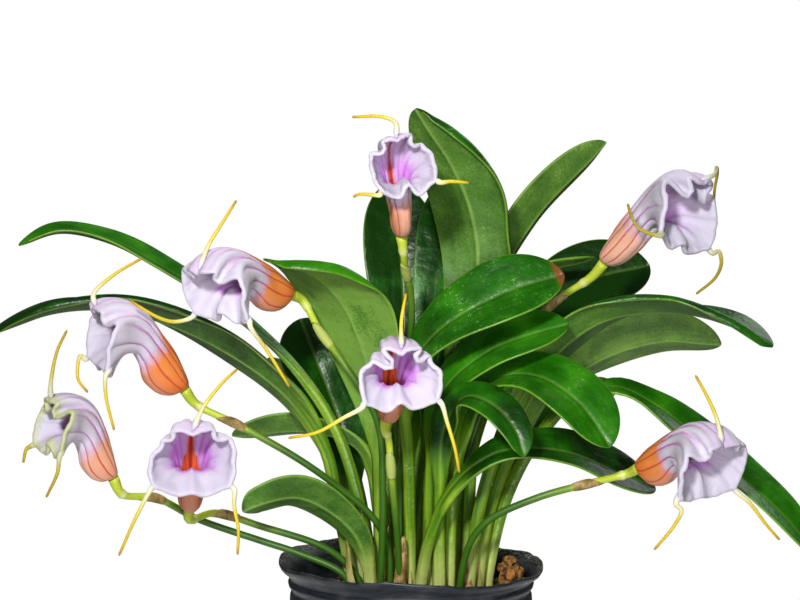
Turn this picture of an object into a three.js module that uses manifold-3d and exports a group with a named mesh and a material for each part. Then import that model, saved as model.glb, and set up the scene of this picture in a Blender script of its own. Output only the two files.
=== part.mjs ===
// A flowering masdevallia orchid in its nursery pot: a tuft of leathery leaves on long stalks, and eight
// blooms, each on a stem of its own. Millimetres, +Z up, the origin at the middle of the pot's foot, -Y the
// side it is seen from.
import * as THREE from "three";
import { mergeVertices } from "three/addons/utils/BufferGeometryUtils.js";
import Module from "manifold-3d";

const wasm = await Module();
wasm.setup();

// ---- driving dimensions ----
const potHeight = 82;
const potFootRadius = 31;
const potTopRadius = 44; // outside, under the lip
const potLipReach = 4; // how far the lip flares past the wall
const potLipDepth = 5; // of the flare, below the rim
const potWall = 1.3;
const potSegments = 36;
const drainRadius = 3.2;
const drainCircle = 19; // radius of the circle that the drain holes stand on
const mixLevel = 70; // the potting mix's top near the wall
const mixMound = 2.5; // how much higher it is in the middle
const mixBump = 0.9; // roughness of its top
const holeBottom = 52; // every stalk goes down to here in the mix
const stalkTop = 74; // and stands upright up to here
const clearance = 0.35; // between pieces that touch
const stalkRadius = 2;
const bladeEdge = 0.7; // thickness of a blade at its edge
const bladeMiddle = 1.7; // and along its midrib
const stemRadius = 1.25;
const jointRadius = 1.6; // where the pedicel stands on the stem
const pedicelRadius = 2.05;
const stemSides = 5;
const stemRings = 13;
const sepalThickness = 0.8;
const tailRootRadius = 0.95;
const tailTipRadius = 0.45;
const tailSides = 5;
const tailRings = 7;

// ---- small helpers ----
const vec = (p) => new THREE.Vector3(...p);
const clamp01 = (t) => Math.min(1, Math.max(0, t));
const smooth = (t) => clamp01(t) ** 2 * (3 - 2 * clamp01(t));
const mix = (a, b, t) => a + (b - a) * t;
const degrees = Math.PI / 180;

// A repeatable draw from 0 to 1.
function seededDraw(seed) {
  let state = seed;
  return () => {
    state = (state * 16807) % 2147483647;
    return state / 2147483647;
  };
}

// Rings of equal count become a closed skin. turned(i, k) swaps the diagonal of the quad after point k of
// ring i.
function skinOf(rings, turned = () => false) {
  const count = rings[0].length;
  const last = rings.length - 1;
  const positions = rings.flat().flatMap((p) => [p.x, p.y, p.z]);
  const at = (i, k) => i * count + (k % count);
  const index = [];
  for (let i = 0; i < last; i++) {
    for (let k = 0; k < count; k++) {
      const [a, b, c, d] = [at(i, k), at(i, k + 1), at(i + 1, k + 1), at(i + 1, k)];
      index.push(...(turned(i, k) ? [a, b, d, b, c, d] : [a, b, c, a, c, d]));
    }
  }
  for (const [ring, sense] of [[0, -1], [last, 1]]) {
    const middle = rings[ring].reduce((sum, p) => sum.add(p), new THREE.Vector3()).divideScalar(count);
    const tip = positions.length / 3;
    positions.push(middle.x, middle.y, middle.z);
    for (let k = 0; k < count; k++) {
      const [a, b] = [at(ring, k), at(ring, k + 1)];
      index.push(...(sense > 0 ? [a, b, tip] : [b, a, tip]));
    }
  }
  const geometry = new THREE.BufferGeometry();
  geometry.setAttribute("position", new THREE.BufferAttribute(new Float32Array(positions), 3));
  geometry.setIndex(index);
  return geometry;
}

// A geometry with its shared corners merged, which a solid needs.
function joined(geometry) {
  const bare = geometry.clone();
  bare.deleteAttribute("normal");
  bare.deleteAttribute("uv");
  return mergeVertices(bare, 1e-4);
}

function solidFrom(geometry) {
  const merged = joined(geometry);
  return new wasm.Manifold(
    new wasm.Mesh({
      numProp: 3,
      vertProperties: new Float32Array(merged.attributes.position.array),
      triVerts: new Uint32Array(merged.index.array),
    }),
  );
}

function geometryFrom(solid) {
  const mesh = solid.getMesh();
  const positions = new Float32Array(mesh.numVert * 3);
  for (let i = 0; i < mesh.numVert; i++) {
    positions.set(mesh.vertProperties.subarray(i * mesh.numProp, i * mesh.numProp + 3), i * 3);
  }
  const geometry = new THREE.BufferGeometry();
  geometry.setAttribute("position", new THREE.BufferAttribute(positions, 3));
  geometry.setIndex(new THREE.BufferAttribute(new Uint32Array(mesh.triVerts), 1));
  return geometry;
}

// A stalk stands upright in its hole, then follows the points it passes through.
function stalkCurve(slot, points) {
  const [x, y] = slot;
  const upright = [holeBottom + clearance, mixLevel - 8, mixLevel, stalkTop].map((z) => [x, y, z]);
  return new THREE.CatmullRomCurve3([...upright, ...points].map(vec), false, "centripetal");
}

// The share of a stalk's length that stands upright.
const uprightShare = (curve) => (stalkTop - holeBottom - clearance) / curve.getLength();

// A round rod along a curve with a ring at each of the runs, radiusAt(run) thick.
function rodGeometry(curve, runs, sides, radiusAt) {
  const first = curve.getTangentAt(runs[0]);
  const normal = new THREE.Vector3(first.z, first.x, first.y).cross(first);
  const rings = runs.map((run) => {
    const along = curve.getTangentAt(run);
    normal.addScaledVector(along, -normal.dot(along)).normalize();
    const across = new THREE.Vector3().crossVectors(along, normal);
    const ring = [];
    for (let k = 0; k < sides; k++) {
      const a = (k / sides) * 2 * Math.PI;
      const point = curve.getPointAt(run).addScaledVector(normal, Math.cos(a) * radiusAt(run));
      ring.push(point.addScaledVector(across, Math.sin(a) * radiusAt(run)));
    }
    return ring;
  });
  return skinOf(rings);
}

// Evenly spaced shares from start to end, both included.
function evenly(start, end, count) {
  return Array.from({ length: count }, (_, i) => mix(start, end, i / (count - 1)));
}

// ---- leaves ----
const bladeRuns = [0.12, 0.28, 0.46, 0.63, 0.78, 0.9, 0.97, 1]; // shares of the blade with a ring of points
const leafLanes = [-1, -0.55, 0, 0.55, 1]; // of its half width

// A slim stalk that widens slowly into the blade, broadest past its middle, and closes in a short point.
function leafHalfWidth(leaf, t) {
  const blade = (t ** 1.1 * (1 - t ** 3.2) ** 0.62) / 0.508;
  return Math.max(0.5, stalkRadius * (1 - t) + (leaf.width / 2 - stalkRadius * 0.4) * blade);
}

// One cross-section: along the upper face from side to side, then back along the lower one.
function leafRing(leaf, curve, run) {
  const t = clamp01((run - leaf.stalk) / (1 - leaf.stalk));
  const along = curve.getTangentAt(run);
  const face = vec(leaf.faceStart).lerp(vec(leaf.faceEnd), smooth(t));
  const side = new THREE.Vector3().crossVectors(along, face).normalize();
  const up = new THREE.Vector3().crossVectors(side, along).normalize();
  const half = leafHalfWidth(leaf, t);
  const bladeShare = smooth(t / 0.36);
  const middleHalf = mix(stalkRadius, bladeMiddle / 2, bladeShare);
  const edgeHalf = mix(stalkRadius * 0.42, bladeEdge / 2, bladeShare);
  const closing = mix(1, 0.5, smooth((t - 0.9) / 0.1));
  const point = (lane, sense) => {
    const rise = (leaf.fold * Math.abs(lane) ** 1.4 - leaf.roll * lane ** 4) * bladeShare * half;
    const thick = edgeHalf + (middleHalf * closing - edgeHalf) * Math.sqrt(1 - lane * lane);
    return curve
      .getPointAt(run)
      .addScaledVector(side, lane * half)
      .addScaledVector(up, rise + sense * thick);
  };
  return [
    ...leafLanes.map((lane) => point(lane, 1)),
    ...[...leafLanes].reverse().map((lane) => point(lane, -1)),
  ];
}

function leafGeometry(leaf) {
  const curve = stalkCurve(leaf.slot, leaf.points);
  const upright = uprightShare(curve);
  const stalkRuns = [upright, mix(upright, leaf.stalk, 0.4), mix(upright, leaf.stalk, 0.8)];
  const runs = [0, ...stalkRuns, ...bladeRuns.map((share) => mix(leaf.stalk, 1, share))];
  const rings = runs.map((run) => leafRing(leaf, curve, run));
  return skinOf(rings, (i, k) => k > leafLanes.length - 1);
}

// slot: where it stands in the mix. stalk: the share of its length that is stalk. faceStart, faceEnd: the
// way its upper face looks, at the foot and at the tip. fold: how far its sides rise from the midrib.
const leafBasics = { width: 24, stalk: 0.38, fold: 0.28, roll: 0.06 };
const leaves = [
  { name: "leaf_01_tall", slot: [10, -5], width: 31, stalk: 0.4, fold: 0.18,
    points: [[13, -6, 120], [19, -6, 160], [24, -6, 192], [21, -9, 211], [14.5, -14, 226], [7.5, -19, 236.5],
      [1.5, -23, 245]],
    faceStart: [0.1, 1, 0.2], faceEnd: [0.3, 0.6, 0.8] },
  { name: "leaf_02_upper_right", slot: [20.5, 1], width: 20, stalk: 0.45, fold: 0.5,
    points: [[22, 4, 120], [28.5, 14, 175], [44.5, 20, 205], [72, 24, 234]],
    faceStart: [-0.6, 0.6, 0.4], faceEnd: [-0.6, 0.6, 0.6] },
  { name: "leaf_03_back_left", slot: [-4, 7], width: 27, stalk: 0.42,
    points: [[-4, 10, 120], [-2.5, 18, 165], [-4, 26, 196], [-7, 36, 219]],
    faceStart: [0.1, -1, 0.2], faceEnd: [0.1, -1, 0.4] },
  { name: "leaf_04_back_middle", slot: [3, 7], width: 24, stalk: 0.42,
    points: [[6, 10, 120], [11, 11, 165], [14, 15, 195], [13, 20, 219]],
    faceStart: [0, -1, 0.2], faceEnd: [-0.1, -1, 0.4] },
  { name: "leaf_05_left_broad", slot: [-11, -5], width: 37, stalk: 0.42, fold: 0.16,
    points: [[-11.5, -8, 112], [-13, -9, 141.5], [-17, -9, 160], [-23, -12, 175], [-34, -21, 187.5],
      [-49, -33, 192.5]],
    faceStart: [0.2, 1, 0.3], faceEnd: [0.2, 0.2, 1] },
  { name: "leaf_06_far_left_high", slot: [-14.5, 1], width: 16, stalk: 0.4,
    points: [[-19, 3, 104], [-28, 4, 131], [-44, 5, 154], [-66, 4, 173], [-90, 4, 188.5], [-109, 2, 198.5],
      [-126.5, -2, 202], [-140, -6, 197]],
    faceStart: [0.6, -0.2, 0.8], faceEnd: [-0.2, -0.25, 1] },
  { name: "leaf_07_far_left_low", slot: [-21.5, 1], width: 33, stalk: 0.34,
    points: [[-27, -3, 106], [-31, -6, 124], [-42, -8, 141.5], [-61, -8, 156.5], [-86, -6, 169],
      [-108, -6, 174.5],
      [-128, -8, 173.5], [-150, -10, 165.5]],
    faceStart: [0.4, 0.8, 0.6], faceEnd: [0, -0.02, 1] },
  { name: "leaf_08_left_level", slot: [-11, 7], width: 18, stalk: 0.5,
    points: [[-12, 10, 100], [-18, 15, 121], [-38, 18, 128], [-66, 17, 126]],
    faceStart: [0, 0.5, 0.9], faceEnd: [0, 0.5, 0.9] },
  { name: "leaf_09_lower_left", slot: [-14.5, -11], width: 18, stalk: 0.3,
    points: [[-15.5, -13, 84], [-19, -17, 94], [-28, -23, 104], [-40, -30, 110.5], [-52, -35, 109],
      [-58.5, -36, 106]],
    faceStart: [0.2, 0.8, 0.4], faceEnd: [0.1, 0.7, 0.7] },
  { name: "leaf_10_front_glossy", slot: [-0.5, -11], width: 27, stalk: 0.5,
    points: [[-1, -14, 120], [-2, -20, 148], [8, -27, 166], [30, -29, 180], [53, -27, 187.5]],
    faceStart: [-0.6, -0.5, 0.6], faceEnd: [-0.35, -0.8, 0.6] },
  { name: "leaf_11_front_bright", slot: [6.5, -11], width: 23, stalk: 0.48,
    points: [[7, -13, 115], [10, -18, 143], [27, -23, 160], [55, -24, 170]],
    faceStart: [-0.5, -0.5, 0.6], faceEnd: [-0.3, -0.6, 0.8] },
  { name: "leaf_12_front_right", slot: [13.5, -11], width: 24, stalk: 0.45,
    points: [[15, -12, 110], [20, -15, 137], [29, -20, 149.5], [43, -28, 152], [57.5, -36, 143.5],
      [68, -42, 129]],
    faceStart: [0, -0.4, 0.9], faceEnd: [0.2, -0.7, 0.7] },
  { name: "leaf_13_front_short", slot: [10, -17], width: 14, stalk: 0.45,
    points: [[10, -20, 108], [11.5, -27, 132], [19, -37, 145.5], [28.5, -45, 143], [35, -50, 135.5],
      [38, -52, 127]],
    faceStart: [0, -0.5, 0.8], faceEnd: [0.3, -0.8, 0.5] },
  { name: "leaf_14_far_right_high", slot: [20.5, -11], width: 31, stalk: 0.4,
    points: [[26, -11, 110], [40, -9, 145], [66, -8, 169.5], [92, -10, 174], [112, -17, 170],
      [126.5, -23, 162]],
    faceStart: [-0.4, 0.8, 0.6], faceEnd: [0.35, -0.1, 0.9] },
  { name: "leaf_15_far_right_low", slot: [24, -5], width: 35, stalk: 0.4,
    points: [[30, 1, 105], [44, 9, 134], [66, 21.5, 152], [92, 20.5, 161], [114, 15, 160]],
    faceStart: [-0.4, 0.6, 0.7], faceEnd: [0.1, 0.5, 0.9] },
  { name: "leaf_16_back_round", slot: [17, 13], width: 30, stalk: 0.5,
    points: [[22, 24, 116], [36, 38, 150], [62, 50, 178.5], [92, 56, 187]],
    faceStart: [-0.4, -0.5, 0.8], faceEnd: [0.1, -0.8, 0.6] },
  { name: "leaf_17_back_right", slot: [10, 7], width: 16, stalk: 0.5,
    points: [[15, 15, 120], [25, 26, 160], [44, 32, 184], [69, 32, 191]],
    faceStart: [-0.4, 0.2, 0.9], faceEnd: [0, 0.1, 1] },
  { name: "leaf_18_long_right", slot: [27.5, 1], width: 22, stalk: 0.36,
    points: [[34, 2, 103], [46, 1, 127], [60, 0, 142], [74, -5, 145.5], [87, -6, 139.5], [99, -10, 130.5],
      [114.5, -16, 117],
      [130, -24, 102.5], [143, -28, 87]],
    faceStart: [-0.3, -0.2, 0.9], faceEnd: [0.6, -0.5, 0.6] },
  { name: "leaf_19_lower_right", slot: [3, -17], width: 22, stalk: 0.35,
    points: [[7, -23, 96], [16, -28, 114], [30, -29, 125], [51, -22, 125], [71, -11, 117], [88, -3, 109]],
    faceStart: [-0.3, -0.4, 0.8], faceEnd: [0.2, -0.6, 0.8] },
  { name: "leaf_20_rear", slot: [-14.5, 13], points: [[-20, 28, 105], [-32, 50, 138], [-44, 80, 146],
    [-50, 102, 134]],
    faceStart: [0, -0.4, 0.9], faceEnd: [0, 0.3, 1] },
  { name: "leaf_21_rear", slot: [-7.5, 13], points: [[-9, 28, 116], [-11.5, 49, 154], [-18, 72, 176],
    [-20, 98, 174]],
    faceStart: [0, -0.6, 0.8], faceEnd: [0, 0, 1] },
  { name: "leaf_22_rear", slot: [-0.5, 13], points: [[2, 24, 110], [6, 46, 146], [8, 76, 160], [8, 104, 150]],
    faceStart: [0, -0.5, 0.8], faceEnd: [0, 0.3, 1] },
  { name: "leaf_23_rear", slot: [6.5, 13], points: [[12, 22, 105], [22, 44, 132], [36, 72, 138],
    [46, 92, 124]],
    faceStart: [-0.1, -0.5, 0.8], faceEnd: [0.3, 0.4, 0.9] },
  { name: "leaf_24_rear", slot: [24, 7], points: [[32, 18, 105], [46, 36, 132], [64, 58, 142], [78, 72, 134]],
    faceStart: [-0.3, -0.4, 0.9], faceEnd: [0.2, 0.2, 1] },
  { name: "leaf_25_rear", slot: [-18, 7], width: 28, points: [[-22, 16, 98], [-26, 33, 125], [-35, 38, 150],
    [-42, 46, 167]],
    faceStart: [0.3, -0.5, 0.8], faceEnd: [-0.2, -0.3, 1] },
].map((leaf) => ({ ...leafBasics, ...leaf }));

// ---- blooms ----
// The calyx in its own frame: its foot at the origin, the tube rising along +Z, its mouth towards -Y.
// Each station is a ring: its centre, the tilt of its plane, its reach to the sides, the back and the
// front, and how far the floor of the mouth rises in the middle (keel).
const calyxStations = [
  { y: 0, z: 0, tilt: 0, side: 2.0, back: 2.0, front: 2.0, keel: 0 },
  { y: 0, z: 1.5, tilt: 0, side: 3.5, back: 2.7, front: 5.6, keel: 0 },
  { y: -0.8, z: 5.5, tilt: 0, side: 4.5, back: 4.6, front: 7.8, keel: 0 },
  { y: -1.2, z: 12, tilt: 5, side: 5.0, back: 6.6, front: 8.2, keel: 0 },
  { y: -1.4, z: 18, tilt: 13, side: 5.6, back: 8.0, front: 6.2, keel: 0.2 },
  { y: -2.2, z: 23.5, tilt: 26, side: 7.0, back: 10.1, front: 5.6, keel: 0.7 },
  { y: -5, z: 28.2, tilt: 38, side: 9.6, back: 12.7, front: 7.4, keel: 1.3 },
  { y: -8.4, z: 31.4, tilt: 47, side: 12.6, back: 13.2, front: 10.4, keel: 1.4 },
  { y: -11, z: 33.4, tilt: 53, side: 14.6, back: 11.8, front: 13.4, keel: 0.8 },
];
// The rim's own shape on one side, from the tip of the hood at 0 to the middle of the lip at 180 degrees:
// how far it stands out of its station's ellipse and forward of its plane. The horn and the tails' roots
// stand out.
const rimShape = [
  { angle: 0, out: -3.2, forward: 3.4 },
  { angle: 20, out: -1.6, forward: 2.9 },
  { angle: 45, out: -0.7, forward: 0.1 },
  { angle: 60, out: 0.9, forward: -1.5 },
  { angle: 80, out: 0.6, forward: -0.8 },
  { angle: 105, out: 0.6, forward: 0.4 },
  { angle: 130, out: 2.6, forward: 0.8 },
  { angle: 155, out: 1.5, forward: -1.4 },
  { angle: 180, out: 0.8, forward: -1 },
];
const [foldAngle, foldSpread, notchSpread] = [45, 8, 9];
const rimAngles = rimShape.map((point) => point.angle);
const bloomAngles = [...rimAngles, ...rimAngles.slice(1, -1).reverse().map((angle) => -angle)];
const tailAngles = { top: 0, right: 130, left: -130 };

// Clefts beside the hood (folds, right and left) and in the lip (notch) are each bloom's own.
function rimShift(bloom, angle, flare) {
  const off = Math.abs(angle);
  const fold = bloom.folds[angle > 0 ? 0 : 1] * Math.exp(-(((off - foldAngle) / foldSpread) ** 2));
  const notch = bloom.notch * Math.exp(-(((180 - off) / notchSpread) ** 2));
  const after = Math.max(1, rimShape.findIndex((point) => point.angle >= off));
  const [a, b] = [rimShape[after - 1], rimShape[after]];
  const t = smooth((off - a.angle) / (b.angle - a.angle));
  return {
    out: (mix(a.out, b.out, t) - fold - notch) * flare,
    forward: (mix(a.forward, b.forward, t) + 0.25 * fold + 0.3 * notch) * flare,
  };
}

// chin: how full the tube's front is; it fades out towards the mouth.
function calyxPoint(bloom, index, angle) {
  const station = calyxStations[index];
  const flare = smooth((index - 5) / (calyxStations.length - 6));
  const [a, tilt] = [angle * degrees, station.tilt * degrees];
  const shift = rimShift(bloom, angle, flare);
  const [across, toBack] = [Math.sin(a), Math.cos(a)];
  const keel = station.keel * smooth((Math.abs(angle) - 125) / 55);
  const chin = mix(bloom.chin, 1, smooth((index - 2.5) / 3.5));
  const reach = toBack > 0 ? station.back : station.front * chin - keel;
  const stretch = 1 + shift.out / Math.hypot(station.side * across, reach * toBack);
  const x = station.side * across * stretch * bloom.width;
  const r = reach * toBack * stretch;
  return new THREE.Vector3(
    x,
    station.y + r * Math.cos(tilt) - shift.forward * Math.sin(tilt),
    station.z + r * Math.sin(tilt) + shift.forward * Math.cos(tilt),
  );
}

// The inner skin is the outer one moved in along its own normal. It needs fewer rings, deep in the tube.
const innerStations = [2, 4, 5, 6, 7, 8];
function innerRings(outer) {
  const count = bloomAngles.length;
  return innerStations.map((i) =>
    outer[i].map((p, k) => {
      const around = outer[i][(k + 1) % count].clone().sub(outer[i][(k + count - 1) % count]);
      const onward = outer[Math.min(i + 1, outer.length - 1)][k].clone().sub(outer[i - 1][k]);
      const normal = new THREE.Vector3().crossVectors(around, onward).normalize();
      return p.clone().addScaledVector(normal, sepalThickness);
    }),
  );
}

function calyxGeometry(bloom) {
  const outer = calyxStations.map((station, i) => bloomAngles.map((angle) => calyxPoint(bloom, i, angle)));
  const rings = [...outer, ...innerRings(outer).reverse()].map((ring) => [...ring].reverse());
  return skinOf(rings, (i) => i >= outer.length);
}

// The bloom's frame: up is where its tube rises, and its mouth looks towards facing.
function bloomMatrix(bloom) {
  const up = vec(bloom.up).normalize();
  const back = vec(bloom.facing).negate();
  back.addScaledVector(up, -back.dot(up)).normalize();
  const right = new THREE.Vector3().crossVectors(back, up).normalize();
  const matrix = new THREE.Matrix4().makeBasis(right, back, up);
  matrix.scale(new THREE.Vector3(bloom.size, bloom.size, bloom.size));
  return matrix.setPosition(vec(bloom.foot));
}

// A tail runs on from the rim, a thin tapered rod through the places it hangs by.
function tailGeometry(bloom, tail, matrix) {
  const last = calyxStations.length - 1;
  const [inner, rim] = [last - 1, last].map((i) => calyxPoint(bloom, i, tailAngles[tail]));
  const shares = tail === "top" ? [0.8] : [0.6, 1, 1.5];
  const starts = shares.map((share) => inner.clone().lerp(rim, share).applyMatrix4(matrix));
  const curve = new THREE.CatmullRomCurve3([...starts, ...bloom.tails[tail].map(vec)], false, "centripetal");
  const radiusAt = (run) => mix(tailRootRadius, tailTipRadius, run ** 0.7);
  return rodGeometry(curve, evenly(0, 1, tailRings), tailSides, radiusAt);
}

function bloomSolid(bloom) {
  const matrix = bloomMatrix(bloom);
  let solid = solidFrom(calyxGeometry(bloom).applyMatrix4(matrix));
  for (const tail of Object.keys(bloom.tails)) {
    solid = solid.add(solidFrom(tailGeometry(bloom, tail, matrix)));
  }
  return solid;
}

// foot: where the bloom sits on its pedicel. up: the way its tube rises. slot and stem: the stem's way to it.
const blooms = [
  { name: "bloom_1_top", foot: [-3.5, -38, 201.5], up: [-0.1, -0.34, 0.94], facing: [0.3, -0.91, -0.3],
    size: 0.89, width: 0.88, folds: [1.5, 1.5], notch: 3.5,
    slot: [-4, -5], stem: [[-3, -5, 120], [-1, -7, 150], [0, -15, 177.5], [-2, -27, 189]],
    tails: {
      top: [[-5.5, -57, 239.5], [-10, -57, 241.5], [-20, -53, 241.5]],
      right: [[13, -58, 220], [19, -56, 219.5]],
      left: [[-17.5, -60.5, 215.8], [-19.5, -58.5, 214.9]],
    } },
  { name: "bloom_2_left_upper", foot: [-42.5, -22, 180.5], up: [-0.61, -0.68, 0.39],
    facing: [-0.31, -0.25, -0.92], size: 1.03, folds: [3, 2], notch: 3.5,
    slot: [-11, -17], stem: [[-10, -24, 110], [-12, -27, 136.5], [-23.5, -27, 156.2], [-32.2, -21, 167.5]],
    tails: {
      top: [[-68.5, -50, 198.5], [-64, -48, 206], [-59.5, -44, 213.5]],
      right: [[-49, -50, 163], [-41.5, -46, 150]],
      left: [[-81.1, -38, 171.8], [-86.2, -42, 173.4], [-95.6, -46, 179.5]],
    } },
  { name: "bloom_3_left_middle", foot: [-80, -20, 147], up: [-0.53, -0.3, 0.79],
    facing: [-0.86, -0.3, -0.4], size: 1.03,
    slot: [-7.5, -11], stem: [[-9, -13, 92], [-15, -15, 102], [-25.5, -18, 111.5], [-39.5, -21, 122],
      [-60.5, -21, 134]],
    tails: {
      top: [[-109.5, -35, 181], [-103, -32, 187.5], [-94, -26, 193]],
      right: [[-104.3, -44, 146.7], [-102, -41, 134.8]],
      left: [[-116.3, -20, 158.6], [-117, -22, 150.7], [-113.7, -21, 145.7]],
    } },
  { name: "bloom_4_far_left", foot: [-104, -30, 117], up: [-0.4, -0.28, 0.87], facing: [-0.74, -0.46, -0.49],
    size: 0.86,
    slot: [-21, -11], stem: [[-25, -11, 80], [-40, -9, 86.5], [-54, -8, 91], [-76, -10, 99], [-90, -19, 108]],
    tails: {
      top: [[-123, -45, 150.5], [-121, -43, 162], [-118, -40, 169]],
      right: [[-119.5, -54, 122], [-124, -50, 113]],
      left: [[-133.1, -35, 127.5], [-134.3, -35, 122.7]],
    } },
  { name: "bloom_5_left_lower", foot: [-78, -22, 106], up: [0.08, -0.57, 0.82], facing: [0.09, -0.81, -0.58],
    folds: [0.6, 1], notch: 0.6,
    slot: [-18, -5], stem: [[-22, -6, 81], [-31, -8, 88.5], [-54, -10, 96.6], [-70, -11, 101.5]],
    tails: {
      top: [[-70, -52, 144.5], [-63.5, -48, 152.5], [-59.5, -44, 156]],
      right: [[-60.3, -50, 110.5], [-59, -49, 101.9], [-59.4, -47, 92.8]],
      left: [[-93.5, -54, 106], [-99.5, -50, 93]],
    } },
  { name: "bloom_6_front", foot: [-8.5, -42, 140.2], up: [0.1, -0.65, 0.76], facing: [0.15, -0.74, -0.65],
    size: 0.94, folds: [3, 6], notch: 2.5,
    slot: [-4, -17], stem: [[-5, -22, 95], [-7, -30, 118], [-8, -35, 131]],
    tails: {
      top: [[-3.5, -76, 175], [-2, -72, 183.5]],
      right: [[11.5, -69, 141], [14.1, -69, 132.2], [15.7, -66, 123.5]],
      left: [[-22.2, -75, 143], [-31.1, -74, 138], [-40.7, -71, 135.7]],
    } },
  { name: "bloom_7_right_upper", foot: [69.5, 0, 190.5], up: [0.59, -0.34, 0.74],
    facing: [0.43, -0.64, -0.64], size: 1.14, chin: 0.6, folds: [5, 6], notch: 2,
    slot: [13.5, 1], stem: [[18, 0, 110], [27, 1, 140], [39.5, 5, 161], [52, 6, 175.7]],
    tails: {
      top: [[106, -19, 222.1], [107.9, -12, 224.6], [109.1, -5, 222.1], [108.9, 0, 216.3], [109, 2, 210.5]],
      right: [[108.4, -15, 195.2], [109.4, -15, 191], [107.7, -12, 185.6], [101.4, -9, 179.7]],
      left: [[78.2, -36, 203.6], [75.7, -34, 207.7], [74.7, -30, 212.1]],
    } },
  { name: "bloom_8_right_lower", foot: [79.5, -30, 120.5], up: [0.54, -0.73, 0.42],
    facing: [0.3, -0.31, -0.9], size: 1.02, folds: [1, 3], notch: 1,
    slot: [17, -17], stem: [[20.5, -22, 92], [27, -25, 101], [44.6, -28, 109.7], [61.8, -27.5, 114.4]],
    tails: {
      top: [[101.6, -62, 140.9], [99.5, -58, 146.8], [95.7, -52, 154.6]],
      right: [[115.1, -46, 110.6], [121.2, -44, 102.8], [126.3, -42, 97]],
      left: [[89.5, -66, 111], [87.6, -63, 105.5], [81.5, -58, 96.4]],
    } },
].map((bloom) => ({ size: 1, width: 1, chin: 1, folds: [2.5, 2.5], notch: 2, ...bloom }));

// ---- flower stems ----
// Slim up to the joint, with a bract's swelling below it, then the pedicel, which thickens up to the bloom.
function stemRadiusAt(run) {
  const pedicel = mix(jointRadius, pedicelRadius, smooth((run - 0.88) / 0.12));
  const bractSwell = 0.5 * Math.exp(-(((run - 0.74) / 0.04) ** 2));
  return mix(stemRadius, pedicel, smooth((run - 0.84) / 0.04)) + bractSwell;
}

function stemGeometry(bloom) {
  const back = (length) => vec(bloom.foot).addScaledVector(vec(bloom.up).normalize(), -length).toArray();
  const curve = stalkCurve(bloom.slot, [...bloom.stem, back(7), back(clearance)]);
  const runs = [0, ...evenly(uprightShare(curve), 1, stemRings - 1)];
  return rodGeometry(curve, runs, stemSides, stemRadiusAt);
}

// ---- nursery pot ----
// Outside radius at a height, before the lip.
const potRadiusAt = (z) => mix(potFootRadius, potTopRadius, z / (potHeight - potLipDepth));

// The thin lip isn't even: it waves up and down a little, more at its edge.
function lipWave(angle, z) {
  const share = smooth((z - potHeight + 2 * potLipDepth) / (2 * potLipDepth));
  return share * (1.3 * Math.cos(angle - 2.9) + 0.7 * Math.sin(3 * angle + 0.6) + 0.4 * Math.sin(7 * angle));
}

function potRing(radius, z, segments = potSegments) {
  const ring = [];
  for (let k = 0; k < segments; k++) {
    const a = (k / segments) * 2 * Math.PI;
    ring.push(new THREE.Vector3(radius * Math.cos(a), radius * Math.sin(a), z + lipWave(a, z)));
  }
  return ring;
}

// The profile runs up the outside, over the lip and down the inside. Two moulded steps ring the wall below
// the lip.
function potSolid() {
  const lipFoot = potHeight - potLipDepth;
  const lipOuter = potTopRadius + potLipReach;
  const outside = [
    [potFootRadius - 1, 0],
    [potFootRadius, 1.5],
    [potRadiusAt(56), 56],
    [potRadiusAt(58) + 0.8, 58],
    [potRadiusAt(66) + 0.8, 66],
    [potRadiusAt(68) + 1.4, 68],
    [potRadiusAt(lipFoot), lipFoot],
    [lipOuter - 1.2, potHeight - 2.2],
    [lipOuter, potHeight],
  ];
  const inside = [
    [lipOuter - potWall, potHeight],
    [lipOuter - potWall - 1.6, potHeight - 1.6],
    [potRadiusAt(lipFoot) - potWall, lipFoot - 0.6],
    [potFootRadius - potWall, potWall],
  ];
  let solid = solidFrom(skinOf([...outside, ...inside].map(([radius, z]) => potRing(radius, z))));
  for (let i = 0; i < 5; i++) {
    const a = (i / 5) * 2 * Math.PI;
    const drain = new THREE.CylinderGeometry(drainRadius, drainRadius, 4 * potWall, 8).rotateX(Math.PI / 2);
    drain.translate(drainCircle * Math.cos(a), drainCircle * Math.sin(a), 0);
    solid = solid.subtract(solidFrom(drain));
  }
  return solid;
}

// ---- potting mix ----
const mixDraw = seededDraw(4127);
const chipCount = 13;
const chipSize = [7, 4.5, 2.4];
const lump = { at: [36, 2, 76], radii: [5, 8, 8.5] }; // a crumbling lump of bark by the right wall

function mixTop(radius, segments) {
  const share = radius / (potRadiusAt(mixLevel) - potWall - clearance);
  const ring = potRing(radius, mixLevel + mixMound * (1 - share * share), segments);
  return ring.map((p) => p.setZ(p.z + (mixDraw() - 0.5) * 2 * mixBump));
}

function mixBody() {
  const wall = (z) => potRadiusAt(z) - potWall - clearance;
  const floor = potWall + clearance;
  const segments = 30;
  const shoulder = mixLevel - 3;
  const side = [potRing(wall(floor) - 1, floor, segments), potRing(wall(shoulder), shoulder, segments)];
  const top = [0.97, 0.82, 0.64, 0.46, 0.28, 0.12].map((share) => mixTop(wall(mixLevel) * share, segments));
  return solidFrom(skinOf([...side, ...top]));
}

// A bark chip lies tilted on the mix, a third of it sunk in.
function barkChip(x, y) {
  const [length, width, height] = chipSize.map((size) => size * (0.7 + 0.6 * mixDraw()));
  const chip = new THREE.BoxGeometry(length, width, height);
  const position = chip.attributes.position;
  for (let i = 0; i < position.count; i++) {
    position.setX(i, position.getX(i) * (position.getY(i) > 0 ? 0.8 : 1));
  }
  chip.rotateX((mixDraw() - 0.5) * 0.7).rotateY((mixDraw() - 0.5) * 0.7).rotateZ(mixDraw() * Math.PI);
  return solidFrom(chip.translate(x, y, mixLevel + mixMound * 0.5 + 0.6));
}

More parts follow.
